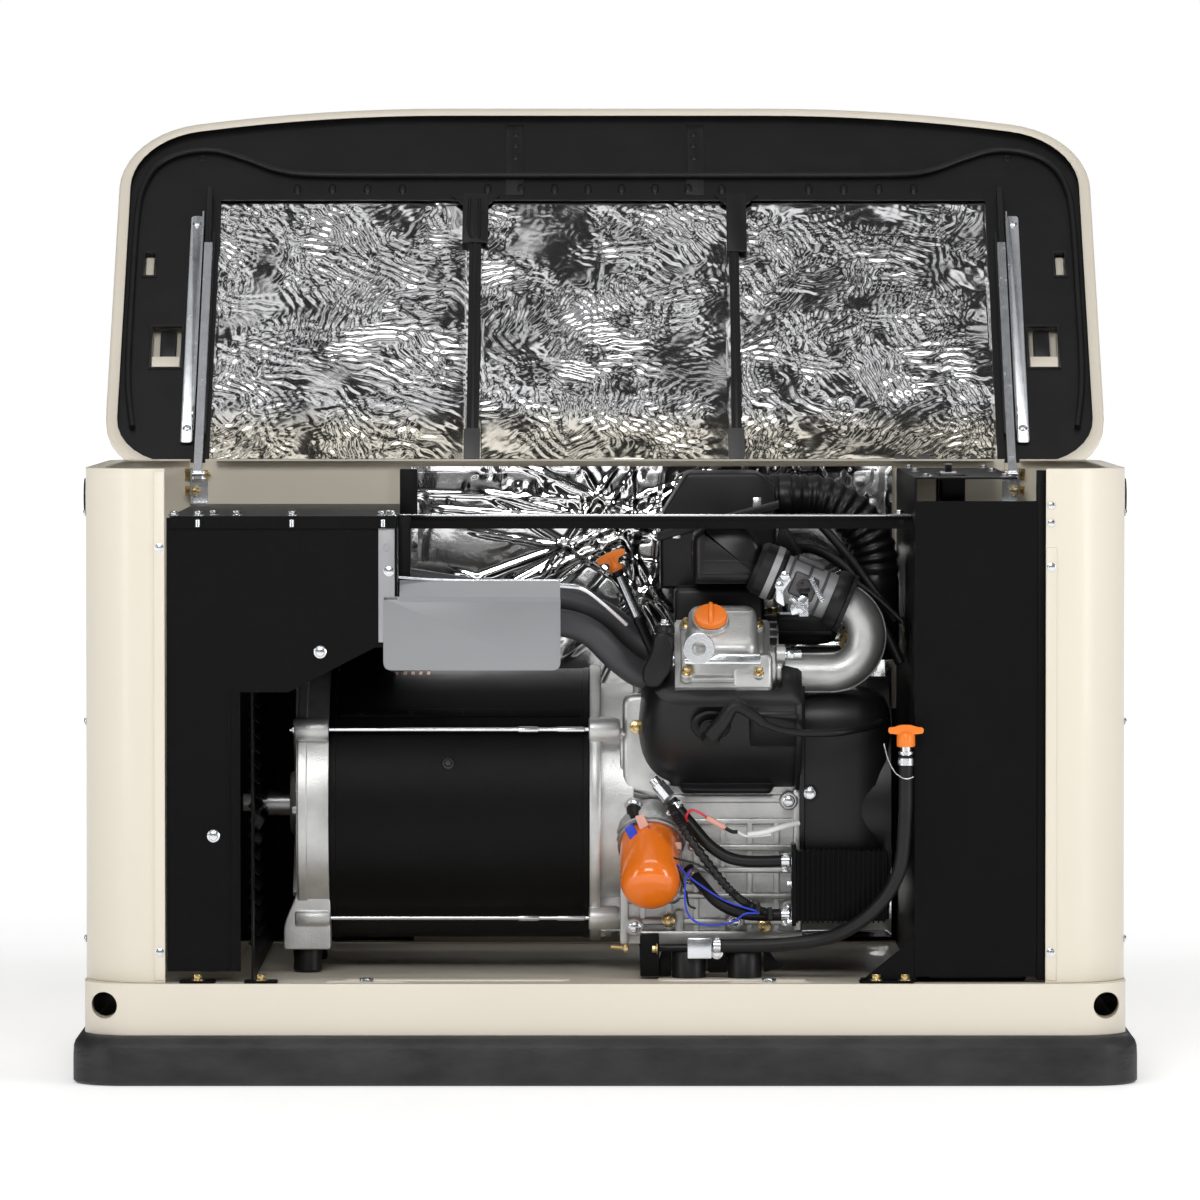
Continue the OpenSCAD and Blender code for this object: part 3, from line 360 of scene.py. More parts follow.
class Shape:
    """One piece, gathered in millimetres from closed solids."""

    def __init__(self, place=None):
        self.bm = bmesh.new()
        self.place = place or Matrix.Identity(4)

    def take(self, part, m=None, bevel=0.0, segments=2):
        if bevel:
            sharp = [e for e in part.edges if e.calc_face_angle(0.0) > 0.6]
            bmesh.ops.bevel(part, geom=sharp, offset=bevel, segments=segments, profile=0.5,
                            affect="EDGES", clamp_overlap=True)
        part.transform(self.place @ (m or Matrix.Identity(4)))
        mesh = bpy.data.meshes.new("part")
        part.to_mesh(mesh)
        part.free()
        self.bm.from_mesh(mesh)
        bpy.data.meshes.remove(mesh)

    def box(self, a, b, bevel=0.6, m=None, segments=2):
        part = bmesh.new()
        bmesh.ops.create_cube(part, size=1)
        a, b = Vector(a), Vector(b)
        size = b - a
        part.transform(Matrix.Translation((a + b) / 2) @ Matrix.Diagonal((*size, 1)))
        self.take(part, m, bevel, segments)

    def rod(self, p, q, r, r2=None, sides=32, bevel=0.0, m=None, segments=2):
        part = bmesh.new()
        p, q = Vector(p), Vector(q)
        bmesh.ops.create_cone(part, cap_ends=True, segments=sides, radius1=r,
                              radius2=r if r2 is None else r2, depth=(q - p).length)
        part.transform(aim((p + q) / 2, q - p))
        self.take(part, m, bevel, segments)

    def turned(self, profile, p=(0, 0, 0), axis=Z_AXIS, sides=48, ring=False, m=None, spin=0.0):
        """A profile of (radius, height) turned about an axis. ring joins its last point to its
        first."""
        part = bmesh.new()
        rows = []
        for r, h in profile:
            if r < 1e-6:
                rows.append([part.verts.new((0, 0, h))])
                continue
            rows.append([part.verts.new((r * math.cos(2 * math.pi * k / sides),
                                         r * math.sin(2 * math.pi * k / sides), h))
                         for k in range(sides)])
        pairs = list(zip(rows, rows[1:])) + ([(rows[-1], rows[0])] if ring else [])
        for a, b in pairs:
            for k in range(sides):
                j = (k + 1) % sides
                if len(a) == 1:
                    part.faces.new((a[0], b[j], b[k]))
                elif len(b) == 1:
                    part.faces.new((a[k], a[j], b[0]))
                else:
                    part.faces.new((a[k], a[j], b[j], b[k]))
        part.transform(aim(p, axis, spin))
        bmesh.ops.recalc_face_normals(part, faces=part.faces)
        self.take(part, m)

    def slab(self, outline, z0, z1, bevel=0.6, m=None, segments=2):
        """An outline in XY, thickened from z0 to z1."""
        part = bmesh.new()
        low = [part.verts.new((x, y, z0)) for x, y in outline]
        high = [part.verts.new((x, y, z1)) for x, y in outline]
        part.faces.new(low[::-1])
        part.faces.new(high)
        n = len(outline)
        for k in range(n):
            j = (k + 1) % n
            part.faces.new((low[k], low[j], high[j], high[k]))
        bmesh.ops.recalc_face_normals(part, faces=part.faces)
        self.take(part, m, bevel, segments)

    def loft(self, loops, m=None, ends=(True, True)):
        """Closed loops of equal length, bridged in turn, with flat or fanned ends."""
        part = bmesh.new()
        rows = [[part.verts.new(p) for p in loop] for loop in loops]
        n = len(rows[0])
        for a, b in zip(rows, rows[1:]):
            for k in range(n):
                j = (k + 1) % n
                part.faces.new((a[k], a[j], b[j], b[k]))
        if ends[0]:
            part.faces.new(rows[0][::-1])
        if ends[1]:
            part.faces.new(rows[-1])
        bmesh.ops.recalc_face_normals(part, faces=part.faces)
        self.take(part, m)

    def tube(self, points, r, sides=14, steps=6, radius=None, m=None):
        """A tube along a smooth curve; radius(t, length) may vary it."""
        path = smooth_path(points, steps) if steps else [Vector(q) for q in points]
        reach = [0.0]
        for a, b in zip(path, path[1:]):
            reach.append(reach[-1] + (b - a).length)
        ahead = (path[1] - path[0]).normalized()
        side = ahead.orthogonal().normalized()
        loops = []
        for i, p in enumerate(path):
            t = (path[min(i + 1, len(path) - 1)] - path[max(i - 1, 0)]).normalized()
            side = (side - t * side.dot(t)).normalized()
            up = t.cross(side)
            size = r if radius is None else radius(reach[i], reach[-1])
            loops.append([p + size * (math.cos(2 * math.pi * k / sides) * side
                                      + math.sin(2 * math.pi * k / sides) * up) for k in range(sides)])
        self.loft(loops, m)

    def ball(self, p, r, m=None, squash=(1, 1, 1)):
        part = bmesh.new()
        bmesh.ops.create_uvsphere(part, u_segments=24, v_segments=14, radius=r)
        part.transform(Matrix.Translation(Vector(p)) @ Matrix.Diagonal((*squash, 1)))
        self.take(part, m)

    def bolt(self, p, axis, across=10, h=5, washer=1.0, m=None, spin=0.3):
        """A flanged hexagon head standing on p."""
        place = (m or Matrix.Identity(4)) @ aim(p, axis, spin)
        r = across / 2 / math.cos(math.pi / 6)
        part = bmesh.new()
        bmesh.ops.create_cone(part, cap_ends=True, segments=6, radius1=r, radius2=r, depth=h)
        part.transform(Matrix.Translation((0, 0, washer + h / 2)))
        self.take(part, place, across * 0.06)
        self.turned([(0, 0), (across * 0.78, 0), (across * 0.78, washer * 0.7),
                     (across * 0.62, washer * 1.3), (0, washer * 1.3)], sides=28, m=place)

    def screw(self, p, axis, r=4, h=2.4, m=None):
        """A low round head with a cross slot."""
        place = (m or Matrix.Identity(4)) @ aim(p, axis)
        self.turned([(0, 0), (r, 0), (r, h * 0.3), (r * 0.8, h * 0.8), (r * 0.45, h), (0, h)], sides=24,
                    m=place)
        for turn in (0.4, 0.4 + math.pi / 2):
            self.box((-r * 0.55, -r * 0.12, h * 0.9), (r * 0.55, r * 0.12, h * 1.06), 0, place
                     @ Matrix.Rotation(turn, 4, "Z"))

    def nut(self, p, axis, across=8, h=5, r=2.5, tail=3, m=None):
        """A nut with a thread end standing out of it."""
        place = (m or Matrix.Identity(4)) @ aim(p, axis)
        part = bmesh.new()
        side = across / 2 / math.cos(math.pi / 6)
        bmesh.ops.create_cone(part, cap_ends=True, segments=6, radius1=side, radius2=side, depth=h)
        part.transform(Matrix.Translation((0, 0, h / 2)))
        self.take(part, place, across * 0.06)
        self.thread((0, 0, h), Z_AXIS, r, tail, m=place)

    def thread(self, p, axis, r, length, pitch=1.0, m=None):
        """Rings that read as a screw thread."""
        turns = max(2, int(length / pitch))
        profile = [(0, 0)]
        for k in range(turns):
            profile += [(r, k * length / turns), (r * 0.86, (k + 0.5) * length / turns)]
        profile += [(r * 0.8, length), (0, length)]
        self.turned(profile, p, axis, 20, m=m)

    def clamp(self, p, axis, r, width=9, m=None):
        """A hose clamp: a band with a raised screw housing."""
        place = (m or Matrix.Identity(4)) @ aim(p, axis)
        w = width / 2
        self.turned(corners(r, -w, r + 1.0, w), sides=32, ring=True, m=place)
        for k in range(9):
            a = 0.5 + 0.22 * k
            turn = place @ Matrix.Rotation(a, 4, "Z")
            self.box((r + 0.9, -0.5, -w * 0.55), (r + 1.4, 0.5, w * 0.55), 0, turn)
        self.box((-w * 0.9, -r - 5.5, -w * 0.8), (w * 0.9, -r - 0.6, w * 0.8), 0.8, place)
        self.rod((-w * 1.7, -r - 3.2, 0), (-w * 0.7, -r - 3.2, 0), 2.4, sides=6, bevel=0.3, m=place)

    def piece(self, name, slot, materials=None, replaces=(), sharp=32, body="enclosure"):
        """Finishes the shape as one object in metres that rides on a body."""
        mesh = bpy.data.meshes.new(name)
        self.bm.transform(Matrix.Scale(MM, 4))
        self.bm.to_mesh(mesh)
        self.bm.free()
        mesh.shade_smooth()
        mesh.set_sharp_from_angle(angle=math.radians(sharp))
        for mat in materials or [MAT[slot]]:
            mesh.materials.append(mat)
        thing = bpy.data.objects.new(name, mesh)
        scene.collection.objects.link(thing)
        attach(thing, body)
        if replaces:
            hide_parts(*replaces)


def bolt_set(name, slot, rows, **more):
    """A piece made of bolts alone, with one row of bolt() arguments for each."""
    shape = Shape()
    for row in rows:
        shape.bolt(*row)
    shape.piece(name, slot, **more)


# ---------- base and enclosure ----------

def plan_loop(hx, hy, r, z, n=10):
    """A rectangle with round corners, as a loop at height z."""
    loop = []
    for sx, sy, a0 in ((1, 1, 0), (-1, 1, 90), (-1, -1, 180), (1, -1, 270)):
        for k in range(n + 1):
            a = math.radians(a0 + 90 * k / n)
            loop.append((sx * (hx - r) + r * math.cos(a), sy * (hy - r) + r * math.sin(a), z))
    return loop


def make_pad():
    """The composite pad, with a soft top edge and a flat top under the pan."""
    hx, hy, corner = 609, 319, 58
    profile = [(20, 0), (3, 0), (0, 3), (0, 30), (0.5, 42), (2.5, 48), (7, 53), (13, 55.2), (22, 56),
               (60, 56)]
    pad = Shape()
    pad.loft([plan_loop(hx - d, hy - d, max(corner - d, 4), z) for d, z in profile])
    pad.piece("pad", "composite_pad", replaces=["base_pad"])


def make_pan_details():
    rims = Shape()
    for x in (-273, 187):
        rims.loft([[(x + u, v - 272, z) for u, v in rounded(corners(-a, -b, a, b), b * 0.99, 8)]
                   for a, b, z in ((52, 14.5, DECK_Z - 0.6), (50, 13, DECK_Z + 0.5),
                                   (46.4, 10.4, DECK_Z + 0.4), (45.2, 9.2, DECK_Z - 0.8))],
                  ends=(False, False))
    rims.piece("pan_rims", "tan_paint")
    swage = Shape()
    for x0, x1, y0, y1 in ((-560, -430, -230, 230), (60, 230, -262, -226), (-300, -40, -262, -226)):
        swage.slab(rounded(corners(x0, y0, x1, y1), 16, 6), DECK_Z - 1, DECK_Z + 1.6, 1.4)
    swage.piece("pan_swages", "tan_paint")


def make_panel_details():
    """Return flanges beside the front opening, their screws, and rims round the locks."""
    flange = Shape()
    for s in (-1, 1):
        a, b = sorted((s * (MOUTH_X + 12.5), s * MOUTH_X))
        z1 = 699 if s < 0 else 612
        flange.box((a, BODY_FRONT - 1.6, 118), (b, BODY_FRONT + 1, z1), 0.7)
        for y in (-60, 120):
            flange.box((s * BODY_HX - 1.2, y - 0.6, 130), (s * BODY_HX + 0.3, y + 0.6, 640), 0.2)
    flange.piece("opening_flanges", "tan_paint")
    screws = Shape()
    for s in (-1, 1):
        for z in (150, 612):
            screws.bolt((s * (MOUTH_X + 6), BODY_FRONT - 1.6, min(z, 590 if s > 0 else z)), (0, -1, 0),
                        6.5, 2.6, 0.8)
    for s in (-1, 1):
        for y in (-210, 210):
            for z in (160, 410, 650):
                screws.screw((s * BODY_HX, y, z), (s, 0, 0), 4.2)
    screws.piece("panel_screws", "zinc")
    strip = Shape()
    strip.box((MOUTH_X, -287, 615), (MOUTH_X + 13, -283, 700), 0.5)
    strip.box((MOUTH_X - 10, -283, 118), (MOUTH_X, -262, 700), 0.5)
    strip.piece("right_opening_strip", "black_paint")
    bolt_set("right_strip_bolts", "zinc", [((MOUTH_X + 6, -287, z), (0, -1, 0), 8, 3.4, 1)
            for z in (640, 660)])
    for s, name in ((-1, "left"), (1, "right")):
        ring = Shape()
        ring.turned([(22.5, 0.2), (26, 0.2), (26, 1.6), (24.6, 2.8), (22.5, 2.8)],
                    (s * BODY_HX, -100, 666), (s, 0, 0), 48, True)
        ring.piece(f"{name}_lock_gasket", "black_plastic")


def make_rear_details():
    """Pressed frames and hoods round the rear louvres, and screws."""
    frame_lines = Shape()
    for x in (-440, 220):
        a = rounded(corners(x - 12, 158, x + 212, 370), 12, 5)
        b = rounded(corners(x - 6, 164, x + 206, 364), 9, 5)
        frame_lines.loft([[(u, y, v) for u, v in c] for c, y in ((a, 292.8), (a, 294.4), (b, 294.4),
                (b, 292.8))], ends=(False, False))
        for row in range(10):
            z = 170 + row * 20
            hood = [(0, 9.5), (4.2, 7.4), (5.4, 4.0), (5.4, 2.4), (4.2, 2.4), (0, 8.2)]
            frame_lines.loft([[(px, 293.0 + u, z + v) for u, v in hood] for px in (x + 1, x + 199)])
    frame_lines.piece("rear_louvre_hoods", "tan_paint")
    screws = Shape()
    for x in (-510, -470, 0, 505):
        for z in (140, 420, 640):
            screws.screw((x, 293.3, z), (0, 1, 0), 4.2)
    screws.piece("rear_screws", "zinc")


def make_duct_details():
    """Bolts, screws, edge folds and the bare strip beside the muffler box."""
    bolts = Shape()
    for x, y in ((-492, -277), (-464, -277), (-448, -250), (-421, -262), (-357, -277), (-255, -268),
                 (-243, -262), (-248, -240)):
        bolts.bolt((x, y, TOP_PLATE_Z), Z_AXIS, 8.6, 4.4, 1.2)
    for x in (-464, -357, -253):
        bolts.rod((x, -291.4, 636), (x, -291.4, 644), 3.0, sides=20, bevel=0.4)
    for x, z in ((-325, 493), (-447, 283)):
        bolts.bolt((x, -285, z), (0, -1, 0), 9.4, 3.6, 1.6)
    bolts.piece("duct_bolts", "zinc")
    strip = Shape()
    strip.box((-258.5, -286.2, 504), (-240, -284.4, 645), 0.5)
    strip.rod((-248.5, -286.6, 612), (-248.5, -284, 612), 4.4, bevel=0.4)
    strip.piece("duct_bare_strip", "grey_steel")
    fold = Shape()
    fold.box((-430, -286.4, 128), (-427.6, -284.6, 446), 0.5)
    fold.box((-417.6, -286.6, 128), (-416, -282, 447), 0.4)
    fold.box((-236.5, -262, 480), (-222.5, -246, 646), 1.2)
    fold.box((-236, -206, 632), (-216, -186, 700), 1.0)
    fold.piece("duct_folds", "black_paint")
    feet = Shape()
    for x0, x1 in ((-486, -445), (-412, -374), (290, 352)):
        feet.slab(rounded(corners(x0, -296, x1, -268), 5, 4), DECK_Z + 0.1, DECK_Z + 2.8, 0.6)
    feet.piece("compartment_feet", "black_paint")
    bolt_set("foot_bolts", "gold_zinc", [((x, -284, DECK_Z + 2.8), Z_AXIS, 10.5, 5.5, 1.6)
            for x in (-465, -393, 309, 342)])
    bolt_set("pan_bolts", "zinc", [((x, -272, DECK_Z - 4), Z_AXIS, 15, 6.4, 1.8) for x in (-273, 187)],
             replaces=["fasteners"])


def make_rail_details():
    rail = Shape()
    rail.box((-238, -210.2, 642), (352, -208.2, 647.8), 0.4)
    rail.piece("rail_lip", "black_paint")
    edge = Shape()
    edge.box((-236, -211.0, 645.9), (352, -209.6, 648.2), 0.4)
    for x in (-228, 338):
        edge.bolt((x, -198, 647.5), Z_AXIS, 8, 4, 1.2)
    edge.piece("rail_edge_and_bolts", "zinc")


# ---------- roof ----------

def roof_loop(inset, n_bow=8, n_front=10, n_rear=8):
    """The roof's outline, drawn in by inset: a flat middle, a slow bow and four round corners."""
    hx, front, rear = 609, -324, 314
    bow_r, bow_x, corner_r, rear_r = 1700, 200, 116, 90
    turn = math.asin((hx - corner_r - bow_x) / (bow_r - corner_r))
    corner_y = front + bow_r - (bow_r - corner_r) * math.cos(turn)
    half = []
    for k in range(n_bow + 1):
        a = -math.pi / 2 + turn * k / n_bow
        half.append((bow_x + (bow_r - inset) * math.cos(a),
                     front + bow_r + (bow_r - inset) * math.sin(a)))
    for k in range(1, n_front + 1):
        a = -math.pi / 2 + turn + (math.pi / 2 - turn) * k / n_front
        half.append((hx - corner_r + (corner_r - inset) * math.cos(a),
                     corner_y + (corner_r - inset) * math.sin(a)))
    for k in range(n_rear + 1):
        a = math.pi / 2 * k / n_rear
        half.append((hx - rear_r + (rear_r - inset) * math.cos(a),
                     rear - rear_r + (rear_r - inset) * math.sin(a)))
    return half + [(-x, y) for x, y in half[::-1]]


def crown(x, y):
    """Height of the roof's outside at a place."""
    across = 18545 - math.sqrt(18545 ** 2 - x * x)
    along = 2688 - math.sqrt(2688 ** 2 - (y + 5) ** 2)
    return CROWN_Z - max(across, along)


def make_roof_shell():
    """A pressed lid with rolled shoulders and an inward hem."""
    shoulder, wall = 15.0, 1.5
    def skin(inset, lift):
        loop = []
        for x, y in roof_loop(inset):
            past = max(0.0, shoulder - inset)
            loop.append((x, y, crown(x, y) - shoulder + math.sqrt(shoulder ** 2 - past ** 2) - lift))
        return loop
    def flat(inset, z):
        return [(x, y, z) for x, y in roof_loop(inset)]
    def shrunk(share, lift):
        return [(x * share, y * share, crown(x * share, y * share) - lift) for x, y in roof_loop(60)]
    outer = [shrunk(s, 0) for s in (0.08, 0.3, 0.55, 0.8, 1.0)] + [skin(d, 0)
            for d in (30, 15, 10, 6, 3, 1, 0.2)]
    hem = [flat(0, 712), flat(0, LIP_Z + 3), flat(0.9, LIP_Z + 0.9), flat(3, LIP_Z), flat(13.4, LIP_Z),
           flat(14, LIP_Z + 0.7), flat(13.4, LIP_Z + wall), flat(wall + 1, LIP_Z + wall),
           flat(wall, LIP_Z + 3)]
    inner = [skin(d, wall) for d in (wall + 0.3, 4, 7, 11, 16, 30)]
    inner += [shrunk(s, wall) for s in (1.0, 0.8, 0.55, 0.3, 0.08)]
    lid = Shape(opened())
    lid.loft(outer + hem + inner)
    lid.piece("roof_lid", "tan_paint", replaces=["roof_shell"], sharp=50, body="roof")


def make_roof_seal():
    half = [(0, -205), (200, -205), (360, -206), (410, -214), (450, -234), (490, -250), (530, -246),
            (562, -224), (580, -180), (585, -120), (586, 0), (585, 150), (576, 236)]
    route = [(-x, y, 707) for x, y in half[:0:-1]] + [(x, y, 707) for x, y in half]
    seal = Shape(opened())
    seal.tube(route, 3.75, sides=16, steps=5)
    seal.piece("roof_bulb_seal", "rubber", replaces=["roof_seal"], body="roof")


def make_liner_details():
    """Seams, rivets, dimples, beads and pockets pressed into the black liner."""
    z = LINER_Z
    d = Shape(opened())
    for s in (-1, 1):
        x = s * 103
        d.box((x - 1.2, -300, z - 1.4), (x + 1.2, PAD_Y0 - 4, z + 0.3), 0.4)
        d.box((x + s * 1.2 if s > 0 else x - 22, -300, z - 0.7), (x + 22 if s > 0 else x - 1.2,
                PAD_Y0 - 4, z + 0.3), 0.3)
        for y in (-282, -262, -240, -214):
            d.turned([(0, -2.3), (2.6, -1.7), (3.7, -0.4), (3.7, 0.4), (0, 0.4)],
                     (x + s * 9, y, z - 0.4), Z_AXIS, 20)
    for cx, gap, count in ((-320, 44, 4), (0, 42, 8), (322, 44, 4)):
        for k in range(count):
            x = cx + (k - (count - 1) / 2) * gap
            d.ball((x, -184, z + 1), 6.4, squash=(0.8, 1.5, 0.55))
    for x0, w, y1, bead in ((-178, 32, -88, 1), (152, 25, -72, 0)):
        x1 = x0 + w
        outline = rounded(corners(x0, PAD_Y0 - 6, x1, y1), 3, 3)
        d.slab(outline, z - 2.0, z - 0.2, 0.5)
        mid = (x0 + x1) / 2
        loop = [(mid - 7, PAD_Y0 + 4), (mid - 7, y1 - 16), (mid + 5, y1 - 9), (mid + 5, PAD_Y0 + 4)]
        if bead:
            d.tube([(x, y, z - 2.0) for x, y in loop], 1.7, sides=10, steps=6)
        for s, px in ((-1, x0), (1, x1)):
            d.slab([(px, PAD_Y0 - 3), (px + s * 15, PAD_Y0 - 3), (px, PAD_Y0 + 14)], z - 1.6, z - 0.2,
                   0.3)
    for x in (-161.5, 161):
        d.box((x - 2.2, PAD_Y0 + 60, z - 1.2), (x + 2.2, PAD_Y1 - 2, z + 0.4), 0.5)
    for s in (-1, 1):
        a = s * 491
        d.box((min(a, a + s * 7), PAD_Y0 - 4, z - 15), (max(a, a + s * 7), 262, z - 0.2), 1.0)
        d.box((min(a - s * 5, a), -100, z - 8), (max(a - s * 5, a), 250, z - 0.4), 0.8)
        d.turned([(2.6, -0.7), (4.2, -0.9), (5.0, 0.1), (2.6, 0.3)], (s * 507, -240, z), Z_AXIS, 24,
                 True)
        for x0, x1, y0, y1 in ((522, 558, 60, 130), (560, 572, -70, -30)):
            a, b = sorted((s * x0, s * x1))
            for u0, v0, u1, v1 in ((a - 3, y0 - 3, b + 3, y0), (a - 3, y1, b + 3, y1 + 3),
                                   (a - 3, y0, a, y1), (b, y0, b + 3, y1)):
                d.box((u0, v0, z - 1.4), (u1, v1, z + 0.4), 0.4)
    d.piece("liner_details", "black_plastic", body="roof")
    pockets = Shape(opened())
    for s in (-1, 1):
        a, b = sorted((s * 523, s * 557))
        pockets.box((a, 61, z + 13), (b, 129, z + 14.5), 0.4)
        pockets.box((a, 112, z - 0.8), (b, 130, z + 0.8), 0.5)
        a, b = sorted((s * 561, s * 571))
        pockets.box((a, -69, z + 7), (b, -31, z + 8.2), 0.4)
    pockets.piece("latch_pockets", "tan_paint", body="roof")
    inner = Shape(opened())
    for s in (-1, 1):
        a, b = sorted((s * 528, s * 548))
        inner.box((a, 64, z + 3), (b, 110, z + 11), 1.5)
    inner.piece("latch_blocks", "black_plastic", body="roof")
    clips = Shape(opened())
    for x in (-172, 150):
        clips.slab(rounded(corners(x, 236, x + 20, 288), 3, 3), z - 2.6, z - 1.2, 0.5)
    for x in (352, 379):
        clips.slab(rounded(corners(x, 281, x + 16, 289), 2, 3), z - 2.6, z - 1.2, 0.4)
    clips.screw((448, 284, z - 0.4), (0, 0, -1), 4, 2)
    clips.piece("pad_clips", "grey_steel", materials=[EXTRA["cover_grey"]], body="roof")


def make_stay_details():
    """Faces, screws and curved tabs of the roof rails, and the nuts at the stays' feet."""
    rail = Shape(opened())
    for s in (-1, 1):
        a, b = sorted((s * 502, s * 517))
        rail.slab(rounded(corners(a, -132, b, 262), 5, 4), LINER_Z - 4.0, LINER_Z - 2.1, 0.4)
        for y in (-118, 238):
            rail.screw((s * 509.5, y, LINER_Z - 4.0), (0, 0, -1), 5, 2.6)
    upright = Matrix.Rotation(math.pi / 2, 4, "Z") @ UPRIGHT
    tab = rounded([(212, 693), (258, 693), (258, 674), (248, 668), (236, 671), (224, 682)],
                  [2, 2, 8, 7, 8, 10], 5)
    for a in (-501.9, 500.3):
        rail.slab(tab, a, a + 1.6, 0.4, upright)
    rail.piece("stay_rail_faces", "zinc", body="roof")
    feet = Shape()
    for s in (-1, 1):
        feet.rod((s * 508, 284, 684), (s * 501, 284, 684), 6.5, sides=6, bevel=0.5)
        feet.rod((s * 507, 272, 664), (s * 501, 272, 664), 5.5, sides=6, bevel=0.5)
        feet.nut((s * 499, 272, 664), (-s, 0, 0), 9, 5, 2.6, 4)
        feet.nut((s * 484.4, 284, 684), (-s, 0, 0), 9, 4, 2.6, 3)
    feet.piece("stay_nuts", "gold_zinc")


# ---------- foil-faced foam ----------

def soft_noise(shape, cell, rng):
    """Smooth noise on a grid, about -1 to 1, with features one cell across."""
    ny, nx = shape
    my, mx = int(ny / cell) + 4, int(nx / cell) + 4
    coarse = rng.uniform(-1, 1, (my, mx))
    y, x = np.arange(ny) / cell, np.arange(nx) / cell
    iy, ix = y.astype(int), x.astype(int)
    fy, fx = y - iy, x - ix
    fy, fx = fy * fy * (3 - 2 * fy), fx * fx * (3 - 2 * fx)
    rows = coarse[iy] * (1 - fy)[:, None] + coarse[iy + 1] * fy[:, None]
    return rows[:, ix] * (1 - fx) + rows[:, ix + 1] * fx


def wrinkles(xs, ys, rng, wave, patches, calm):
    """Worm-like wrinkles: plane waves in patches of changing direction, bent and broken by noise.
    calm is a grid from 0, smooth, to 1, fully wrinkled."""
    gx, gy = np.meshgrid(xs, ys)
    step = xs[1] - xs[0]
    shape = gx.shape
    bend = wave * 0.55
    wx = gx + bend * soft_noise(shape, 34 / step, rng) + bend * 0.6 * soft_noise(shape, 13 / step, rng)
    wy = gy + bend * soft_noise(shape, 34 / step, rng) + bend * 0.6 * soft_noise(shape, 13 / step, rng)
    height, weight = np.zeros(shape), np.zeros(shape)
    for _ in range(patches):
        cx, cy = rng.uniform(xs[0], xs[-1]), rng.uniform(ys[0], ys[-1])
        angle = rng.uniform(0, math.pi)
        k = 2 * math.pi / (wave * rng.uniform(0.8, 1.25))
        far = np.hypot(gx - cx, gy - cy) / 26.0
        w = np.exp(-far * far * 0.5) + 1e-9
        w = w ** 2
        height += w * np.sin(k * (wx * math.cos(angle) + wy * math.sin(angle)) + rng.uniform(0, 6.28))
        weight += w
    height = np.tanh(1.5 * height / weight)
    broken = np.clip(0.75 + 0.9 * soft_noise(shape, 30 / step, rng), 0.1, 1.2)
    return height * broken * calm


def foil_grid(name, body, xs, ys, height, thick, place, material, replaces=()):
    """A foam slab set by place: its face follows height, and its sides and back are plain."""
    ny, nx = height.shape
    fade = np.minimum.outer(np.minimum(np.arange(ny), ny - 1 - np.arange(ny)),
                            np.minimum(np.arange(nx), nx - 1 - np.arange(nx))).clip(0, 3) / 3
    face = height * fade - (1 - fade) * 0.8
    gx, gy = np.meshgrid(xs, ys)
    front = np.stack([gx, gy, face], -1).reshape(-1, 3)
    rim = [(0, i) for i in range(nx)] + [(j, nx - 1) for j in range(1, ny)]
    rim += [(ny - 1, i) for i in range(nx - 2, -1, -1)] + [(j, 0) for j in range(ny - 2, 0, -1)]
    back = np.array([(gx[r], gy[r], -thick) for r in rim])
    points = np.concatenate([front, back])
    matrix = np.array(Matrix.Scale(MM, 4) @ place)
    points = points @ matrix[:3, :3].T + matrix[:3, 3]
    faces = [(j * nx + i, j * nx + i + 1, (j + 1) * nx + i + 1, (j + 1) * nx + i)
             for j in range(ny - 1) for i in range(nx - 1)]
    base, n = nx * ny, len(rim)
    for k in range(n):
        a, b = rim[k], rim[(k + 1) % n]
        faces.append((b[0] * nx + b[1], a[0] * nx + a[1], base + k, base + (k + 1) % n))
    faces.append(tuple(base + k for k in range(n - 1, -1, -1)))
    mesh = bpy.data.meshes.new(name)
    mesh.from_pydata(points.tolist(), [], faces)
    mesh.shade_smooth()
    mesh.set_sharp_from_angle(angle=math.radians(70))
    mesh.materials.append(material)
    pad = bpy.data.objects.new(name, mesh)
    scene.collection.objects.link(pad)
    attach(pad, body)
    if replaces:
        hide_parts(*replaces)
    return pad


def make_roof_foil():
    """Three foil-faced pads. Their faces look down when the roof is closed."""
    step = 1.9
    for k, (x0, x1) in enumerate(PAD_XS):
        rng = np.random.default_rng(41 + k)
        xs = np.arange(x0 + 1, x1 - 0.9, step)
        ys = np.arange(PAD_Y0 + 1, PAD_Y1 - 0.9, step)
        shape = (len(ys), len(xs))
        gx, gy = np.meshgrid(xs, ys)
        calm = np.clip(0.9 + 0.9 * soft_noise(shape, 110 / step, rng), 0.3, 1)
        calm *= np.clip((x1 - gx) / 50 + 0.1, 0, 1) * np.clip((gy - PAD_Y0) / 26 + 0.25, 0, 1)
        calm *= np.clip((PAD_Y1 - gy) / 90 + 0.4, 0, 1)
        calm *= np.clip(1.25 + 1.6 * soft_noise(shape, 62 / step, rng), 0.16, 1)
        fine = wrinkles(xs, ys, rng, 10.5, 70, calm)
        long_fold = wrinkles(xs, ys, rng, 26, 14, calm)
        swell = soft_noise(shape, 90 / step, rng) + 0.8 * soft_noise(shape, 40 / step, rng)
        height = np.clip(0.8 * fine + 0.5 * long_fold + 1.3 * swell - 1.1, -4, 1.5)
        place = opened() @ Matrix.Translation((0, 0, LINER_Z + 3.6)) @ Matrix.Diagonal((1, 1, -1, 1))
        foil_grid(f"roof_foil_{k + 1}", "roof", xs, ys, height, 4.6, place, EXTRA["roof_foil"],
                  ["roof_insulation"] if k == 0 else ())


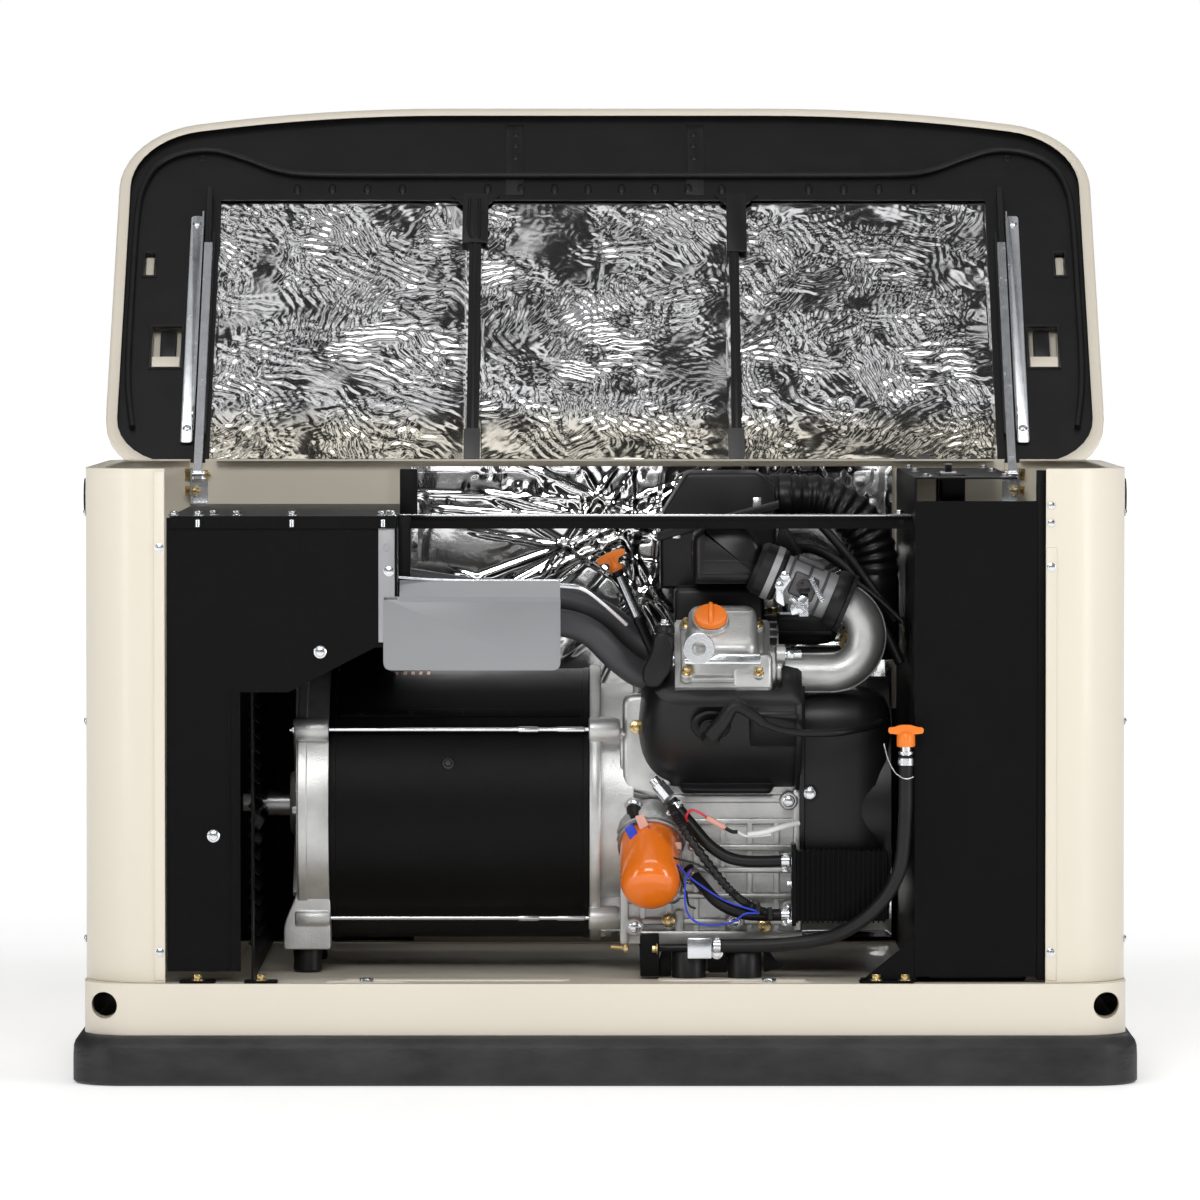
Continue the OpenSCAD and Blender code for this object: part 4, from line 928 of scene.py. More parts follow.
def make_rear_foil():
    """The tall pad behind the engine: flat foil with long straight creases and a finer top band."""
    step = 2.2
    rng = np.random.default_rng(7)
    xs = np.arange(-234, 349, step)
    ys = np.arange(124, 695, step)
    shape = (len(ys), len(xs))
    gx, gy = np.meshgrid(xs, ys)
    height = 0.9 * soft_noise(shape, 90 / step, rng) + 0.22 * soft_noise(shape, 34 / step, rng)
    height += 0.10 * wrinkles(xs, ys, rng, 20, 40, np.clip(0.2 + soft_noise(shape, 60 / step, rng), 0,
            1))
    for k in range(40):
        if k % 2:
            cx, cy, angle = rng.normal(0, 26), 600 + rng.normal(0, 24), rng.uniform(0, math.pi)
        else:
            cx, cy, angle = rng.uniform(-230, 340), rng.uniform(420, 690), rng.uniform(0, math.pi)
        reach = rng.uniform(60, 190)
        u = (gx - cx) * math.cos(angle) + (gy - cy) * math.sin(angle)
        v = -(gx - cx) * math.sin(angle) + (gy - cy) * math.cos(angle)
        end = 1 / (1 + np.exp((np.abs(u) - reach) / 5))
        height += rng.uniform(0.9, 2.0) * np.exp(-(v / rng.uniform(2.4, 4.2)) ** 2) * end
    band = 1 / (1 + np.exp((642 - gy) / 4))
    upright = np.sin(gx / 3.4 + 3 * soft_noise(shape, 40 / step, rng)) * np.clip(soft_noise(shape,
            16 / step, rng), 0, 1)
    height += 1.6 * band * upright
    height = np.clip(height - 1.5, -4, 2.2)
    place = Matrix.Translation((0, 270.5, 0)) @ UPRIGHT
    foil_grid("rear_foil", "enclosure", xs, ys, height, 17, place, MAT["foil"], ["rear_insulation"])


# ---------- alternator ----------

def ring_place(angle_deg, r=TIE_R):
    """A place round the shaft, measured up from the front."""
    a = math.radians(angle_deg)
    return SHAFT_Y - r * math.cos(a), SHAFT_Z + r * math.sin(a)


def make_alternator_details():
    can = Shape()
    for x in (CAN_X0 + 1, CAN_X1 - 9):
        can.turned([(CAN_R - 1, 0), (CAN_R + 0.9, 0.4), (CAN_R + 1.2, 1.2), (CAN_R + 0.9, 7),
                    (CAN_R - 1, 8)], (x, SHAFT_Y, SHAFT_Z), X_AXIS, 128, True)
    seam = Shape()
    m = on_shaft(CAN_X0 + 12, -46)
    seam.box((0, -CAN_R - 1.6, -9), (CAN_X1 - CAN_X0 - 24, -CAN_R + 3, 3), 1.0, m)
    for k in range(5):
        seam.turned([(0, 0), (3.2, 0), (2.4, 1.0), (0, 1.4)], (24 + k * 58, -CAN_R - 1.5, -4.5),
                    (0, -1, 0), 18, m=m)
    seam.piece("can_seam", "black_paint")
    can.piece("can_hems", "black_paint")
    plug = Shape()
    y, z = ring_place(20, CAN_R - 0.5)
    out = (0, -math.cos(math.radians(20)), math.sin(math.radians(20)))
    plug.turned([(0, 0), (7.6, 0), (7.6, 1.6), (6.4, 3.0), (4.6, 3.2), (3.4, 5.2), (0, 5.6)],
                (-181, y, z), out, 28)
    plug.piece("can_grommet", "rubber")
    tips = Shape()
    for a in TIE_ANGLES:
        y, z = ring_place(a)
        tips.turned([(2.55, 0), (3.7, 0), (3.7, 22), (2.55, 24)], (-100, y, z), X_AXIS, 24, True)
        tips.turned([(2.55, 0), (3.4, 0), (3.4, 30), (2.55, 32)], (CAN_X1 - 38, y, z), X_AXIS, 24, True)
        tips.turned([(2.6, 0), (10, 0), (10, 1.4), (2.6, 1.6)], (-357.6, y, z), X_AXIS, 28, True)
    tips.piece("tie_bolt_sleeves", "zinc")


def make_end_bell_details():
    """The bell's cast shoulders: bolt bosses, gussets, the flared feet and the bearing hub."""
    bell = Shape()
    for a in TIE_ANGLES:
        y, z = ring_place(a)
        bell.turned([(2.6, -3), (12.5, -3), (13.6, -1.6), (13.6, 34), (12.4, 36.5), (2.6, 36.5)],
                    (-355.5, y, z), X_AXIS, 32, True)
    side = rounded([(-372, 143), (-318, 143), (-318, 196), (-322, 232), (-336, 252), (-356, 258),
                    (-354, 214), (-372, 172)], [4, 3, 6, 14, 10, 3, 18, 10], 6)
    for y0 in (-157, 28):
        bell.slab(side, -y0 - 48, -y0, 3.0, UPRIGHT, 3)
    bell.turned([(16, -10), (34, -10), (37, -7), (40, 8), (34, 10), (16, 10)], (-358, SHAFT_Y, SHAFT_Z),
                X_AXIS, 48, True)
    for k in range(8):
        m = on_shaft(-356, 45 * k)
        bell.box((-6, 36, -4.5), (10, 142, 4.5), 1.6, m)
    bell.turned([(146, -1), (156.5, -1), (158.2, 1), (158.2, 10), (156, 12), (146, 12)],
                (-355, SHAFT_Y, SHAFT_Z), X_AXIS, 96, True)
    bell.piece("end_bell_castings", "cast_alloy", sharp=40)
    shaft = Shape()
    shaft.turned([(0, -30), (9, -30), (10, -29), (10, 0), (14.9, 1), (14.9, 6), (0, 6)],
                 (-394, SHAFT_Y, SHAFT_Z), X_AXIS, 36)
    shaft.piece("rotor_stub", "steel", body="crank")


# ---------- engine block ----------

def filter_seat():
    """The oil filter's frame, with Z down its length."""
    return aim((52, -170, 268), (0, -math.sin(math.radians(49)), -math.cos(math.radians(49))))


def make_block_details():
    """Ribs, bosses, pads and parting lines cast into the crankcase."""
    c = Shape()
    x1 = CAN_X1 + 12
    c.turned([(CAN_R - 2, -2), (CAN_R + 3, -2), (CAN_R + 4.4, 0), (CAN_R + 4.4, 9), (CAN_R + 3, 11),
              (CAN_R - 2, 11)], (CAN_X1 + 1, SHAFT_Y, SHAFT_Z), X_AXIS, 128, True)
    for a in TIE_ANGLES:
        y, z = ring_place(a)
        c.turned([(3, -3), (12.5, -3), (14, -1.4), (14, 28), (11, 33), (3, 33)], (CAN_X1 + 1, y, z),
                 X_AXIS, 32, True)
        m = on_shaft(x1, -a)
        c.box((-4, -162, -5), (44, -120, 5), 2.0, m)
    for z, y, x0, xe, h in ((176, -163, 34, 226, 8), (206, -164, 84, 226, 7), (236, -164, 90, 226, 7),
                            (262, -163, 96, 226, 8), (292, -160, 70, 226, 8), (318, -156, 60, 226, 10)):
        c.box((x0, y - 7, z - h / 2), (xe, y + 6, z + h / 2), 2.4, segments=3)
    for x, z0, z1 in ((22, 150, 400), (222, 150, 330), (86, 160, 190)):
        c.box((x - 5, -172, z0), (x + 5, -150, z1), 2.6, segments=3)
    for x, z in ((60, 398), (212, 190), (212, 316), (34, 170), (34, 384), (150, 176)):
        c.turned([(0, -12), (11, -12), (11, 8), (9, 10.5), (0, 10.5)], (x, -163, z), (0, -1, 0), 28)
    swell = rounded([(20, 330), (66, 318), (84, 348), (82, 410), (60, 440), (20, 440)], 14, 6)
    c.slab(swell, 150, 178, 7, UPRIGHT, 3)
    c.slab(rounded([(18, 196), (86, 196), (92, 226), (84, 300), (18, 306)], 10, 5), 158, 171, 5,
           UPRIGHT, 3)
    seat = filter_seat()
    c.turned([(0, -30), (41, -30), (43, -10), (41, -1.5), (0, -1.5)], sides=56, m=seat)
    c.slab(rounded(corners(40, 150, 228, 166), 3), 150, 176, 2, UPRIGHT)
    lean = on_cylinder(FRONT_X, 1)
    for k in range(5):
        c.box((-66, -78, 108 + 13 * k), (66, -56, 111 + 13 * k), 0.8, lean)
    c.piece("crankcase_castings", "cast_alloy", sharp=38)
    bolt_set("crankcase_bolts", "zinc", [((x, -173.5, z), (0, -1, 0), 9, 4.6, 1.6)
            for x, z in ((212, 190), (212, 316), (34, 170), (150, 176))])
    bolt_set("crankcase_gold_bolts", "gold_zinc", [((x, -178, z), (0.15, -1, 0.1), 10, 5.5, 1.6)
            for x, z in ((73, 178), (184, 172), (36, 402))])


def wrap_loop(inset, z, share=1.0, shift=0.0):
    """A D-shaped wall round three sides of the front cylinder, open at the back."""
    out = []
    for wall, way in ((0, 1), (3, -1)):
        left, right, front, back = -97 + inset + wall, 91 - wall, -89.5 + inset * 0.72 + wall, 19
        line = rounded([(left, back), (left, front), (right, front), (right, back)],
                       [0, (back - front) * 0.48, 12, 0], 10)
        out += line[::way]
    return [(x * share + shift, y * share, z) for x, y in out]


def make_wrap():
    """The moulded shroud that bulges round the front cylinder."""
    shell = Shape(on_cylinder(FRONT_X, 1))
    rows = []
    for k in range(15):
        t = k / 14
        z = 106 + 120 * t
        swell = math.sin(math.pi * min(1, 0.22 + 0.72 * t)) ** 0.55
        inset = 26 * (1 - swell)
        rows.append(wrap_loop(inset, z))
    first = wrap_loop(inset=5.8, z=105.6, share=0.97)
    last = wrap_loop(inset, 228.5, 0.93, 2)
    top = wrap_loop(inset, 230.5, 0.7, 6)
    shell.loft([first] + rows + [last, top])
    shell.slab(rounded([(-46, -96), (56, -96), (66, -70), (-56, -70)], 5), 104, 112, 2.0)
    shell.box((30, -91.5, 172), (88, -60, 226), 7, segments=4)
    shell.box((84, -91.5, 106), (91, 19, 226), 1.5)
    shell.piece("cylinder_shroud", "black_plastic", replaces=["front_cylinder_wrap"], sharp=42)
    boot = Shape(on_cylinder(FRONT_X, 1))
    boot.turned([(10, -2), (22, -2), (23, 0), (21, 1.6), (16, 2), (10, 0)], (-14, -89.5, 206),
                (0, -1, 0), 36, True)
    boot.piece("plug_opening_rim", "black_plastic")
    guard = Shape()
    guard.slab(rounded([(44, 452), (62, 448), (76, 470), (80, 500), (70, 516), (56, 512), (54, 492),
                        (42, 470)], 7, 5), 200, 228, 5, UPRIGHT, 3)
    guard.turned([(0, 0), (12, 0), (12, 7), (10, 9), (0, 9)], (68, -214, 512), Z_AXIS, 28)
    guard.piece("sensor_boot", "rubber", sharp=45)
    bolt_set("sensor_boot_bolt", "zinc", [((68, -214, 521), Z_AXIS, 9, 4, 2.2)])


def make_blower_details():
    """The blower housing's flange, front wall and shoulders."""
    b = Shape()
    rows = []
    for x, d in ((BLOCK_X1 + 1, 1), (BLOCK_X1 + 30, 0), (290, 0), (312, 4), (324, 12), (330, 26)):
        outline = rounded([(-189 + d, 252), (-189 + d, 446 - d), (60, 446 - d), (60, 252)],
                          [4, 46, 20, 4], 9)
        rows.append([(x, u, v) for u, v in outline])
    b.loft(rows)
    b.box((BLOCK_X1 - 2, -194, 246), (BLOCK_X1 + 4, -150, 452), 1.4)
    b.turned(corners(0, 0, 9, 3), (236, -189, 326), (0, -1, 0), 28)
    b.piece("blower_shoulder", "black_plastic", sharp=45)
    bolt_set("blower_bolt", "zinc", [((236, -192, 326), (0, -1, 0), 10, 5, 2)])


def make_rockers():
    """Cast rocker covers: rounded lids on bolted flanges."""
    for name, x, side, slot, mats in (("front", FRONT_X, 1, "cast_alloy", None), ("rear", REAR_X, -1,
            "cast_alloy", [EXTRA["cover_grey"]])):
        c = Shape(on_cylinder(x, side))
        c.slab(rounded(corners(-48, -48, 48, 48), 13, 6), 235, 241, 1.4, segments=3)
        rows = []
        for d, z in ((-1.5, 240.5), (0, 243), (0.6, 262), (1.6, 272), (3.5, 277), (7, 280), (12, 281),
                     (24, 281.2)):
            rows.append([(u, v, z) for u, v in rounded([(-41 + d, -41 + d), (41 - d, -41 + d),
                    (41 - d, 41 - d), (-41 + d, 41 - d)], max(16 - d * 0.4, 5), 7)])
        c.loft(rows)
        for u in (-1, 1):
            for v in (-1, 1):
                c.turned([(0, 0), (8.4, 0), (8.4, 8), (7.2, 9.4), (0, 9.4)], (u * 41, v * 41, 236),
                         Z_AXIS, 24)
        if side > 0:
            c.turned([(14.1, -8), (22, -8), (21, 0), (20.2, 6), (14.1, 6)], (-14, 4, 281), Z_AXIS, 40,
                     True)
            c.box((-34, 22, 281), (34, 24, 281.8), 0.3)
        c.piece(f"{name}_rocker_cover", slot, mats, ["rocker_covers"] if side > 0 else (), sharp=40)
        g = Shape(on_cylinder(x, side))
        for u in (-1, 1):
            for v in (-1, 1):
                g.bolt((u * 41, v * 41, 245.4), Z_AXIS, 9, 5, 1.6)
        g.piece(f"{name}_rocker_bolts", "gold_zinc")
    b = Shape()
    rows = []
    for x, d in ((176, 8), (178, 3), (184, 0), (250, 0), (264, 3), (272, 9), (275, 18)):
        rows.append([(x, u, v) for u, v in rounded([(60 + d, 486 + d * 0.6), (60 + d, 523 - d),
                (130 - d, 523 - d), (130 - d, 486 + d * 0.6)], 8, 5)])
    b.loft(rows)
    b.box((196, 52, 498), (268, 62, 503), 1.5)
    b.piece("breather_cover", "cast_alloy", [EXTRA["cover_grey"]], sharp=40)
    bolt_set("breather_bolt", "gold_zinc", [((198, 66, 523), Z_AXIS, 11, 5.5, 1.8)])


def make_lifting_eye():
    eye = Shape()
    base = rounded([(90, 478), (178, 478), (178, 489), (152, 489), (130, 490), (120, 484), (90, 484)],
                   [3, 2, 2, 8, 6, 5, 2], 5)
    eye.slab(base, 259.3, 261.7, 0.7, UPRIGHT)
    eye.turned([(8.1, -262.2), (17.2, -262.2), (18, -261.5), (18, -259.5), (17.2, -258.8),
                (8.1, -258.8)], (107, 0, 496), (0, 1, 0), 48, True)
    eye.box((140, -261, 477.6), (178, -247, 480.6), 0.8)
    eye.piece("lifting_plate", "zinc", replaces=["lifting_eye"])


def make_caps():
    """Oil cap, dipstick and oil drain cap, all orange with finger grips."""
    cap = Shape(on_cylinder(FRONT_X, 1) @ Matrix.Translation(CAP_AT))
    cap.turned([(0, 276), (13.9, 276), (13.9, 287.3), (18.4, 287.3), (19, 288), (19, 292), (18, 294.1),
                (12, 295), (0, 295)], sides=56)
    for k in range(20):
        m = Matrix.Rotation(2 * math.pi * k / 20, 4, "Z")
        cap.box((18.2, -1.2, 287.6), (19.0, 1.2, 293), 0.3, m)
    rows = []
    for z, a, b in ((294, 16, 3.4), (298, 15, 2.7), (302, 12.5, 2.3), (304.4, 9, 2.0), (305, 6, 1.2)):
        rows.append([(v, u, z) for u, v in rounded(corners(-a, -b, a, b), b * 0.9, 4)])
    cap.loft(rows)
    cap.piece("oil_filler_cap", "orange_plastic", replaces=["oil_cap"], sharp=40, body="oil_cap")
    stick = Matrix.Translation((14, -60, 578)) @ Matrix.Rotation(math.radians(-23.9), 4, "Y")
    d = Shape(stick)
    d.turned([(0, 0.5), (8.6, 0.5), (9, 1.4), (8.4, 4), (6.4, 8), (5.6, 13), (6.2, 18), (0, 18)],
             sides=36)
    side = rounded([(-17.6, 21), (-17.6, 15), (-7, 13.5), (-5, 8), (5, 8), (7, 13.5), (17.6, 15),
                    (17.6, 21), (9, 23.6), (-9, 23.6)], [2, 2, 4, 2, 2, 4, 2, 2, 6, 6], 5)
    d.slab(side, -4.8, 4.8, 1.6, UPRIGHT, 3)
    d.piece("dipstick_handle", "orange_plastic", replaces=["dipstick"], sharp=40, body="dipstick")
    blade = Shape(stick)
    blade.rod((0, 0, -149), (0, 0, 1), 1.9, sides=12)
    blade.piece("dipstick_blade", "steel", body="dipstick")
    t = Shape(stick @ Matrix.Rotation(math.pi, 4, "Y"))
    t.turned([(4.1, 0.6), (6.4, 0.6), (7, 1.4), (7, 5), (5.4, 7), (5.2, 58), (6.8, 60), (6.8, 66),
              (6.2, 68), (6.2, 172), (4.1, 172)], sides=28, ring=True)
    t.piece("dipstick_tube_black", "black_plastic", replaces=["dipstick_tube"])
    sleeve = Shape(stick @ Matrix.Rotation(math.pi, 4, "Y"))
    sleeve.turned(corners(5.3, 7, 5.9, 58), sides=28, ring=True)
    sleeve.piece("dipstick_tube_sleeve", "zinc")
    e = Shape(Matrix.Translation((DRAIN_X, DRAIN_Y, 397)))
    e.turned([(0, 1), (6.1, 1), (6.1, -11), (9.4, -11), (10, -10), (10, 3), (8.6, 5), (0, 5)], sides=40)
    for k in range(10):
        e.box((9.6, -1.2, -10.4), (10.3, 1.2, 2.6), 0.3, Matrix.Rotation(2 * math.pi * k / 10, 4, "Z"))
    grip = rounded([(-20, 4.6), (-8, 3), (8, 3), (20, 4.6), (20, 11), (12, 11.6), (6, 14), (-6, 14),
                    (-12, 11.6), (-20, 11)], [2.5, 5, 5, 2.5, 2.5, 4, 3, 3, 4, 2.5], 5)
    e.slab(grip, -4.9, 4.9, 1.4, UPRIGHT, 3)
    e.piece("drain_hose_cap", "orange_plastic", replaces=["drain_cap"], sharp=40, body="drain_cap")


def make_filter():
    """A spin-on oil filter with a rolled seam, fluted end and domed crown."""
    r = 35.0
    seat = filter_seat()
    f = Shape(seat)
    f.turned([(0, 1.2), (33.6, 1.2), (34.6, 2), (34.9, 4), (34.2, 5.4), (34.9, 7), (r, 10), (r, 62),
              (34.6, 67), (33.4, 72), (31.4, 76.4), (28.6, 80), (25, 82.4), (20, 84), (12, 84.8),
              (0, 85)], sides=72)
    f.piece("oil_filter_can", "orange_paint", replaces=["oil_filter"], sharp=60)
    g = Shape(seat)
    g.turned([(30, -1.4), (38.6, -1.4), (39.4, 0), (39.4, 2.4), (37.8, 3.2), (34.8, 3.4), (30, 1.0)],
             sides=64, ring=True)
    g.piece("oil_filter_ring", "steel")


# ---------- hoses, wires and fittings ----------

DRAIN_ROUTE = [(DRAIN_X, DRAIN_Y, 376), (DRAIN_X, DRAIN_Y, 360), (341, -302, 300), (334, -288, 240),
               (306, -272, 196), (260, -258, 166), (200, -250, 156), (130, -246, 154)]
UPPER_OIL_ROUTE = [(76, -196, 318), (98, -204, 292), (124, -212, 264), (156, -216, 250), (COOLER_PORT_X,
        COOLER_PORT_Y, COOLER_PORT_ZS[0])]
LOWER_OIL_ROUTE = [(96, -174, 238), (112, -192, 220), (132, -208, 200), (164, -214, 188),
                   (COOLER_PORT_X, COOLER_PORT_Y, COOLER_PORT_ZS[1])]
LEAD_ROUTE = [(150, -262, 430), (182, -262, 410), (214, -256, 400), (262, -240, 398), (304, -214, 404),
              (318, -196, 408)]


def make_hoses():
    h = Shape()
    h.tube(DRAIN_ROUTE, 7.9, 20, 8)
    h.tube(UPPER_OIL_ROUTE, 6.9, 18, 8)
    h.tube(LOWER_OIL_ROUTE, 6.9, 18, 8)
    h.piece("hoses", "rubber", replaces=["hoses_and_leads"])
    lead = Shape()
    lead.tube(LEAD_ROUTE, 4.2, 16, 8)
    plug = on_cylinder(FRONT_X, 1) @ Matrix.Translation((-14, -89, 206))
    knee = plug @ Vector((0, -20, 2))
    lead.turned([(0, -20), (10.5, -20), (11.5, -14), (11.5, 12), (9, 20), (0, 20)], (0, -8, 0),
                (0, -1, 0), 32, m=plug)
    for k in range(4):
        lead.turned([(11, -1.2), (12.8, 0), (11, 1.2)], (0, -4 - 4 * k, 0), (0, -1, 0), 28, True,
                    m=plug)
    end = Vector(LEAD_ROUTE[0])
    lead.tube([knee, knee.lerp(end, 0.35) + Vector((2, -3, 3)), end, Vector(LEAD_ROUTE[1])], 7.4, 18, 6,
              radius=lambda s, full: 10.4 - 5.0 * s / full)
    lead.piece("plug_lead", "rubber")
    loom = Shape()
    loom.tube([(76, -208, 312), (88, -218, 290), (116, -222, 250), (146, -226, 214), (172, -228, 196),
               (190, -226, 190)], 5.4, 16, 22, radius=lambda s, full: 4.9 + 0.9 * math.sin(s * 2.05))
    loom.piece("wire_loom", "black_plastic")
    neck = Shape()
    neck.rod((DRAIN_X, DRAIN_Y, 374), (DRAIN_X, DRAIN_Y, 396), 5.9, bevel=0.5)
    neck.turned(corners(6.2, -1.5, 8.6, 1.5), (DRAIN_X, DRAIN_Y, 379), Z_AXIS, 32, True)
    neck.clamp((DRAIN_X, DRAIN_Y, 369), Z_AXIS, 8.1, 8)
    neck.clamp((128, -246, 154), X_AXIS, 8.1, 8)
    for z in COOLER_PORT_ZS:
        neck.clamp((207, COOLER_PORT_Y, z), X_AXIS, 7.2, 9)
    a = Vector((98, -204, 292)) - Vector((76, -196, 318))
    neck.clamp(Vector((82, -198, 311)), a, 7.2, 8)
    neck.clamp((102, -181, 231), (16, -18, -18), 7.2, 8)
    start = Vector((76, -196, 318)) - a.normalized() * 2
    neck.rod(start - a.normalized() * 22, start - a.normalized() * 2, 8.2, sides=6, bevel=0.6)
    neck.turned([(0, 0), (6.2, 0), (5.6, 3), (6.2, 6), (5.6, 9), (0, 9)], start - a.normalized() * 31,
                a, 28)
    neck.turned([(0, 0), (10, 0), (11.5, 2), (11.5, 7), (10, 9), (0, 9)], (34, -174, 312),
                (-0.2, -0.7, -0.5), 32)
    for z in COOLER_PORT_ZS:
        neck.rod((COOLER_PORT_X, COOLER_PORT_Y, z), (220, COOLER_PORT_Y, z), 8.6, sides=6, bevel=0.5)
    neck.box((94, -256, 140), (122, -232, 164), 1.4)
    neck.piece("hose_fittings", "zinc")
    chain = Shape()
    spot = smooth_path([(318, -286, 388), (322, -292, 372), (329, -299, 358), (336, -311, 352),
                        (343, -315.5, 350), (350, -311, 352)], 9)
    for p in spot:
        chain.ball(p, 0.95)
    chain.piece("cap_chain", "zinc")


def make_wires():
    red = Shape()
    red.tube([(96, -206, 292), (93, -214, 300), (98, -220, 308), (108, -222, 306), (122, -224, 296)],
             1.5, 10, 8)
    red.piece("red_wire", "rubber", [EXTRA["wire_red"]])
    pink = Shape()
    pink.rod((117, -224, 300), (138, -226, 288), 3.4, sides=20, bevel=0.8)
    pink.slab(rounded([(34, 300), (44, 303), (50, 290), (40, 284)], 2), 196, 202, 1.0, UPRIGHT)
    pink.box((80, -200, 262), (88, -194, 270), 1)
    pink.piece("pink_connectors", "rubber", [EXTRA["wire_pink"]])
    white = Shape()
    white.tube([(164, -228, 281), (184, -230, 284), (204, -226, 290), (222, -214, 293)], 3.3, 14, 6)
    white.tube([(152, -227, 284), (164, -228, 279), (190, -229, 281)], 1.7, 10, 6)
    white.piece("white_sleeve", "rubber", [EXTRA["wire_white"]])
    blue = Shape()
    blue.slab(rounded([(22, 286), (31, 292), (38, 280), (44, 268), (38, 264), (28, 274)], 2), 196, 204,
              1.2, UPRIGHT)
    blue.tube([(50, -200, 288), (64, -212, 268), (88, -222, 240), (110, -226, 222), (140, -232, 204),
               (176, -234, 192), (160, -234, 190), (144, -236, 180), (112, -236, 178), (94, -232, 192),
               (92, -228, 226), (98, -226, 240)], 1.15, 8, 8)
    blue.piece("blue_wires", "rubber", [EXTRA["wire_blue"]])
    black = Shape()
    black.turned([(0, -6), (9.4, -6), (9.4, 4), (7, 8), (6, 14), (0, 15)], (34, -180, 306),
                 (0.1, -0.7, -0.7), 28)
    black.tube([(36, -206, 276), (52, -214, 262), (78, -222, 250), (92, -226, 216), (96, -228, 200),
                (104, -230, 196)], 1.3, 8, 8)
    black.tube([(40, -206, 272), (70, -218, 256), (110, -226, 244), (150, -230, 210), (182, -228, 196)],
               1.2, 8, 8)
    black.tube([(138, -226, 288), (146, -227, 284), (152, -227, 284)], 2.2, 10, 4)
    for p in ((176, -228, 196), (190, -226, 190)):
        black.box((p[0] - 3, p[1] - 7, p[2] - 7), (p[0] + 2, p[1] + 6, p[2] + 7), 1)
    black.piece("black_wires", "rubber")
    back = Shape()
    back.tube([(202, 60, 640), (240, 20, 640), (280, -10, 600), (310, -60, 560), (340, -80, 520)], 5.2,
              14, 6)
    back.tube([(196, 40, 600), (250, 0, 600), (300, -40, 560), (345, -60, 470)], 6.0, 14, 6)
    back.tube([(196, -40, 560), (250, -60, 574), (300, -90, 560), (346, -100, 520)], 3.4, 12, 6)
    back.piece("right_bay_hoses", "rubber")
    stud = Shape()
    stud.thread((24, -224, 150), (-0.96, -0.1, 0.1), 2.6, 18)
    stud.nut((26, -224, 150), (-1, 0, 0), 9, 5, 2.6, 2)
    stud.bolt((60, -236, 150), (-1, 0, 0), 9, 5, 1.4)
    stud.piece("ground_stud", "gold_zinc")


# ---------- intake ----------

def make_airbox():
    """The faceted airbox with its lid flange, ribbed elbow and a sleeve ring."""
    a = Shape()
    body = rounded([(65, 556), (196, 556), (200, 575), (200, 675), (180, 692), (96, 692), (65, 640)], 5,
                   4)
    a.slab(body, -149.5, 29.5, 4, UPRIGHT, 3)
    lid = rounded([(61, 612), (204, 650), (204, 660), (61, 622)], 1.5, 3)
    a.slab(lid, -149.8, 32.5, 1.2, UPRIGHT)
    a.box((81, -103.5, 500.5), (185, 25.5, 560), 6, segments=3)
    rows = []
    for y, d in ((-189.5, 10), (-187, 4), (-180, 0), (-120, 0), (-30, 0)):
        rows.append([(x, y, z) for x, z in rounded([(101 + d, 567 + d), (181 - d, 567 + d),
                (181 - d, 612), (160 - d, 639 - d), (120, 639 - d), (101 + d, 622)], 7, 4)])
    a.loft(rows)
    for z in (578, 592):
        a.box((110, -190, z), (172, -184, z + 2.4), 0.6)
    a.slab(rounded([(196, 600), (238, 560), (250, 566), (206, 640)], 6, 4), 70, 110, 4, UPRIGHT)
    elbow = [(150, 662), (175, 662), (205, 662), (234, 661.5)]
    bend = [(234 + 86 * math.sin(t), 576 + 86 * math.cos(t))
            for t in np.linspace(0.12, math.pi / 2, 14)]
    path = [(x, 40, z) for x, z in elbow + bend + [(320, 540), (320, 500), (320, 471)]]
    a.tube(path, 27, 32, 5, radius=lambda s,
           full: 26.4 + (1.4 * math.cos(s * 0.52) if 40 < s < 235 else 0.6))
    a.turned([(20, -7), (27.4, -7), (27.9, -5), (27.9, 5), (27.4, 7), (20, 7)], (212, 40, 662), X_AXIS,
             40, True)
    a.piece("air_cleaner_box", "black_plastic", replaces=["airbox"], sharp=38)
    clips = Shape()
    for x in (84, 178):
        clips.box((x - 5, -30.6, 610 + (x - 65) * 0.26), (x + 5, -28.4, 634 + (x - 65) * 0.26), 0.8)
    clips.clamp((160, 40, 662), X_AXIS, 28, 9)
    clips.piece("airbox_clips", "zinc")


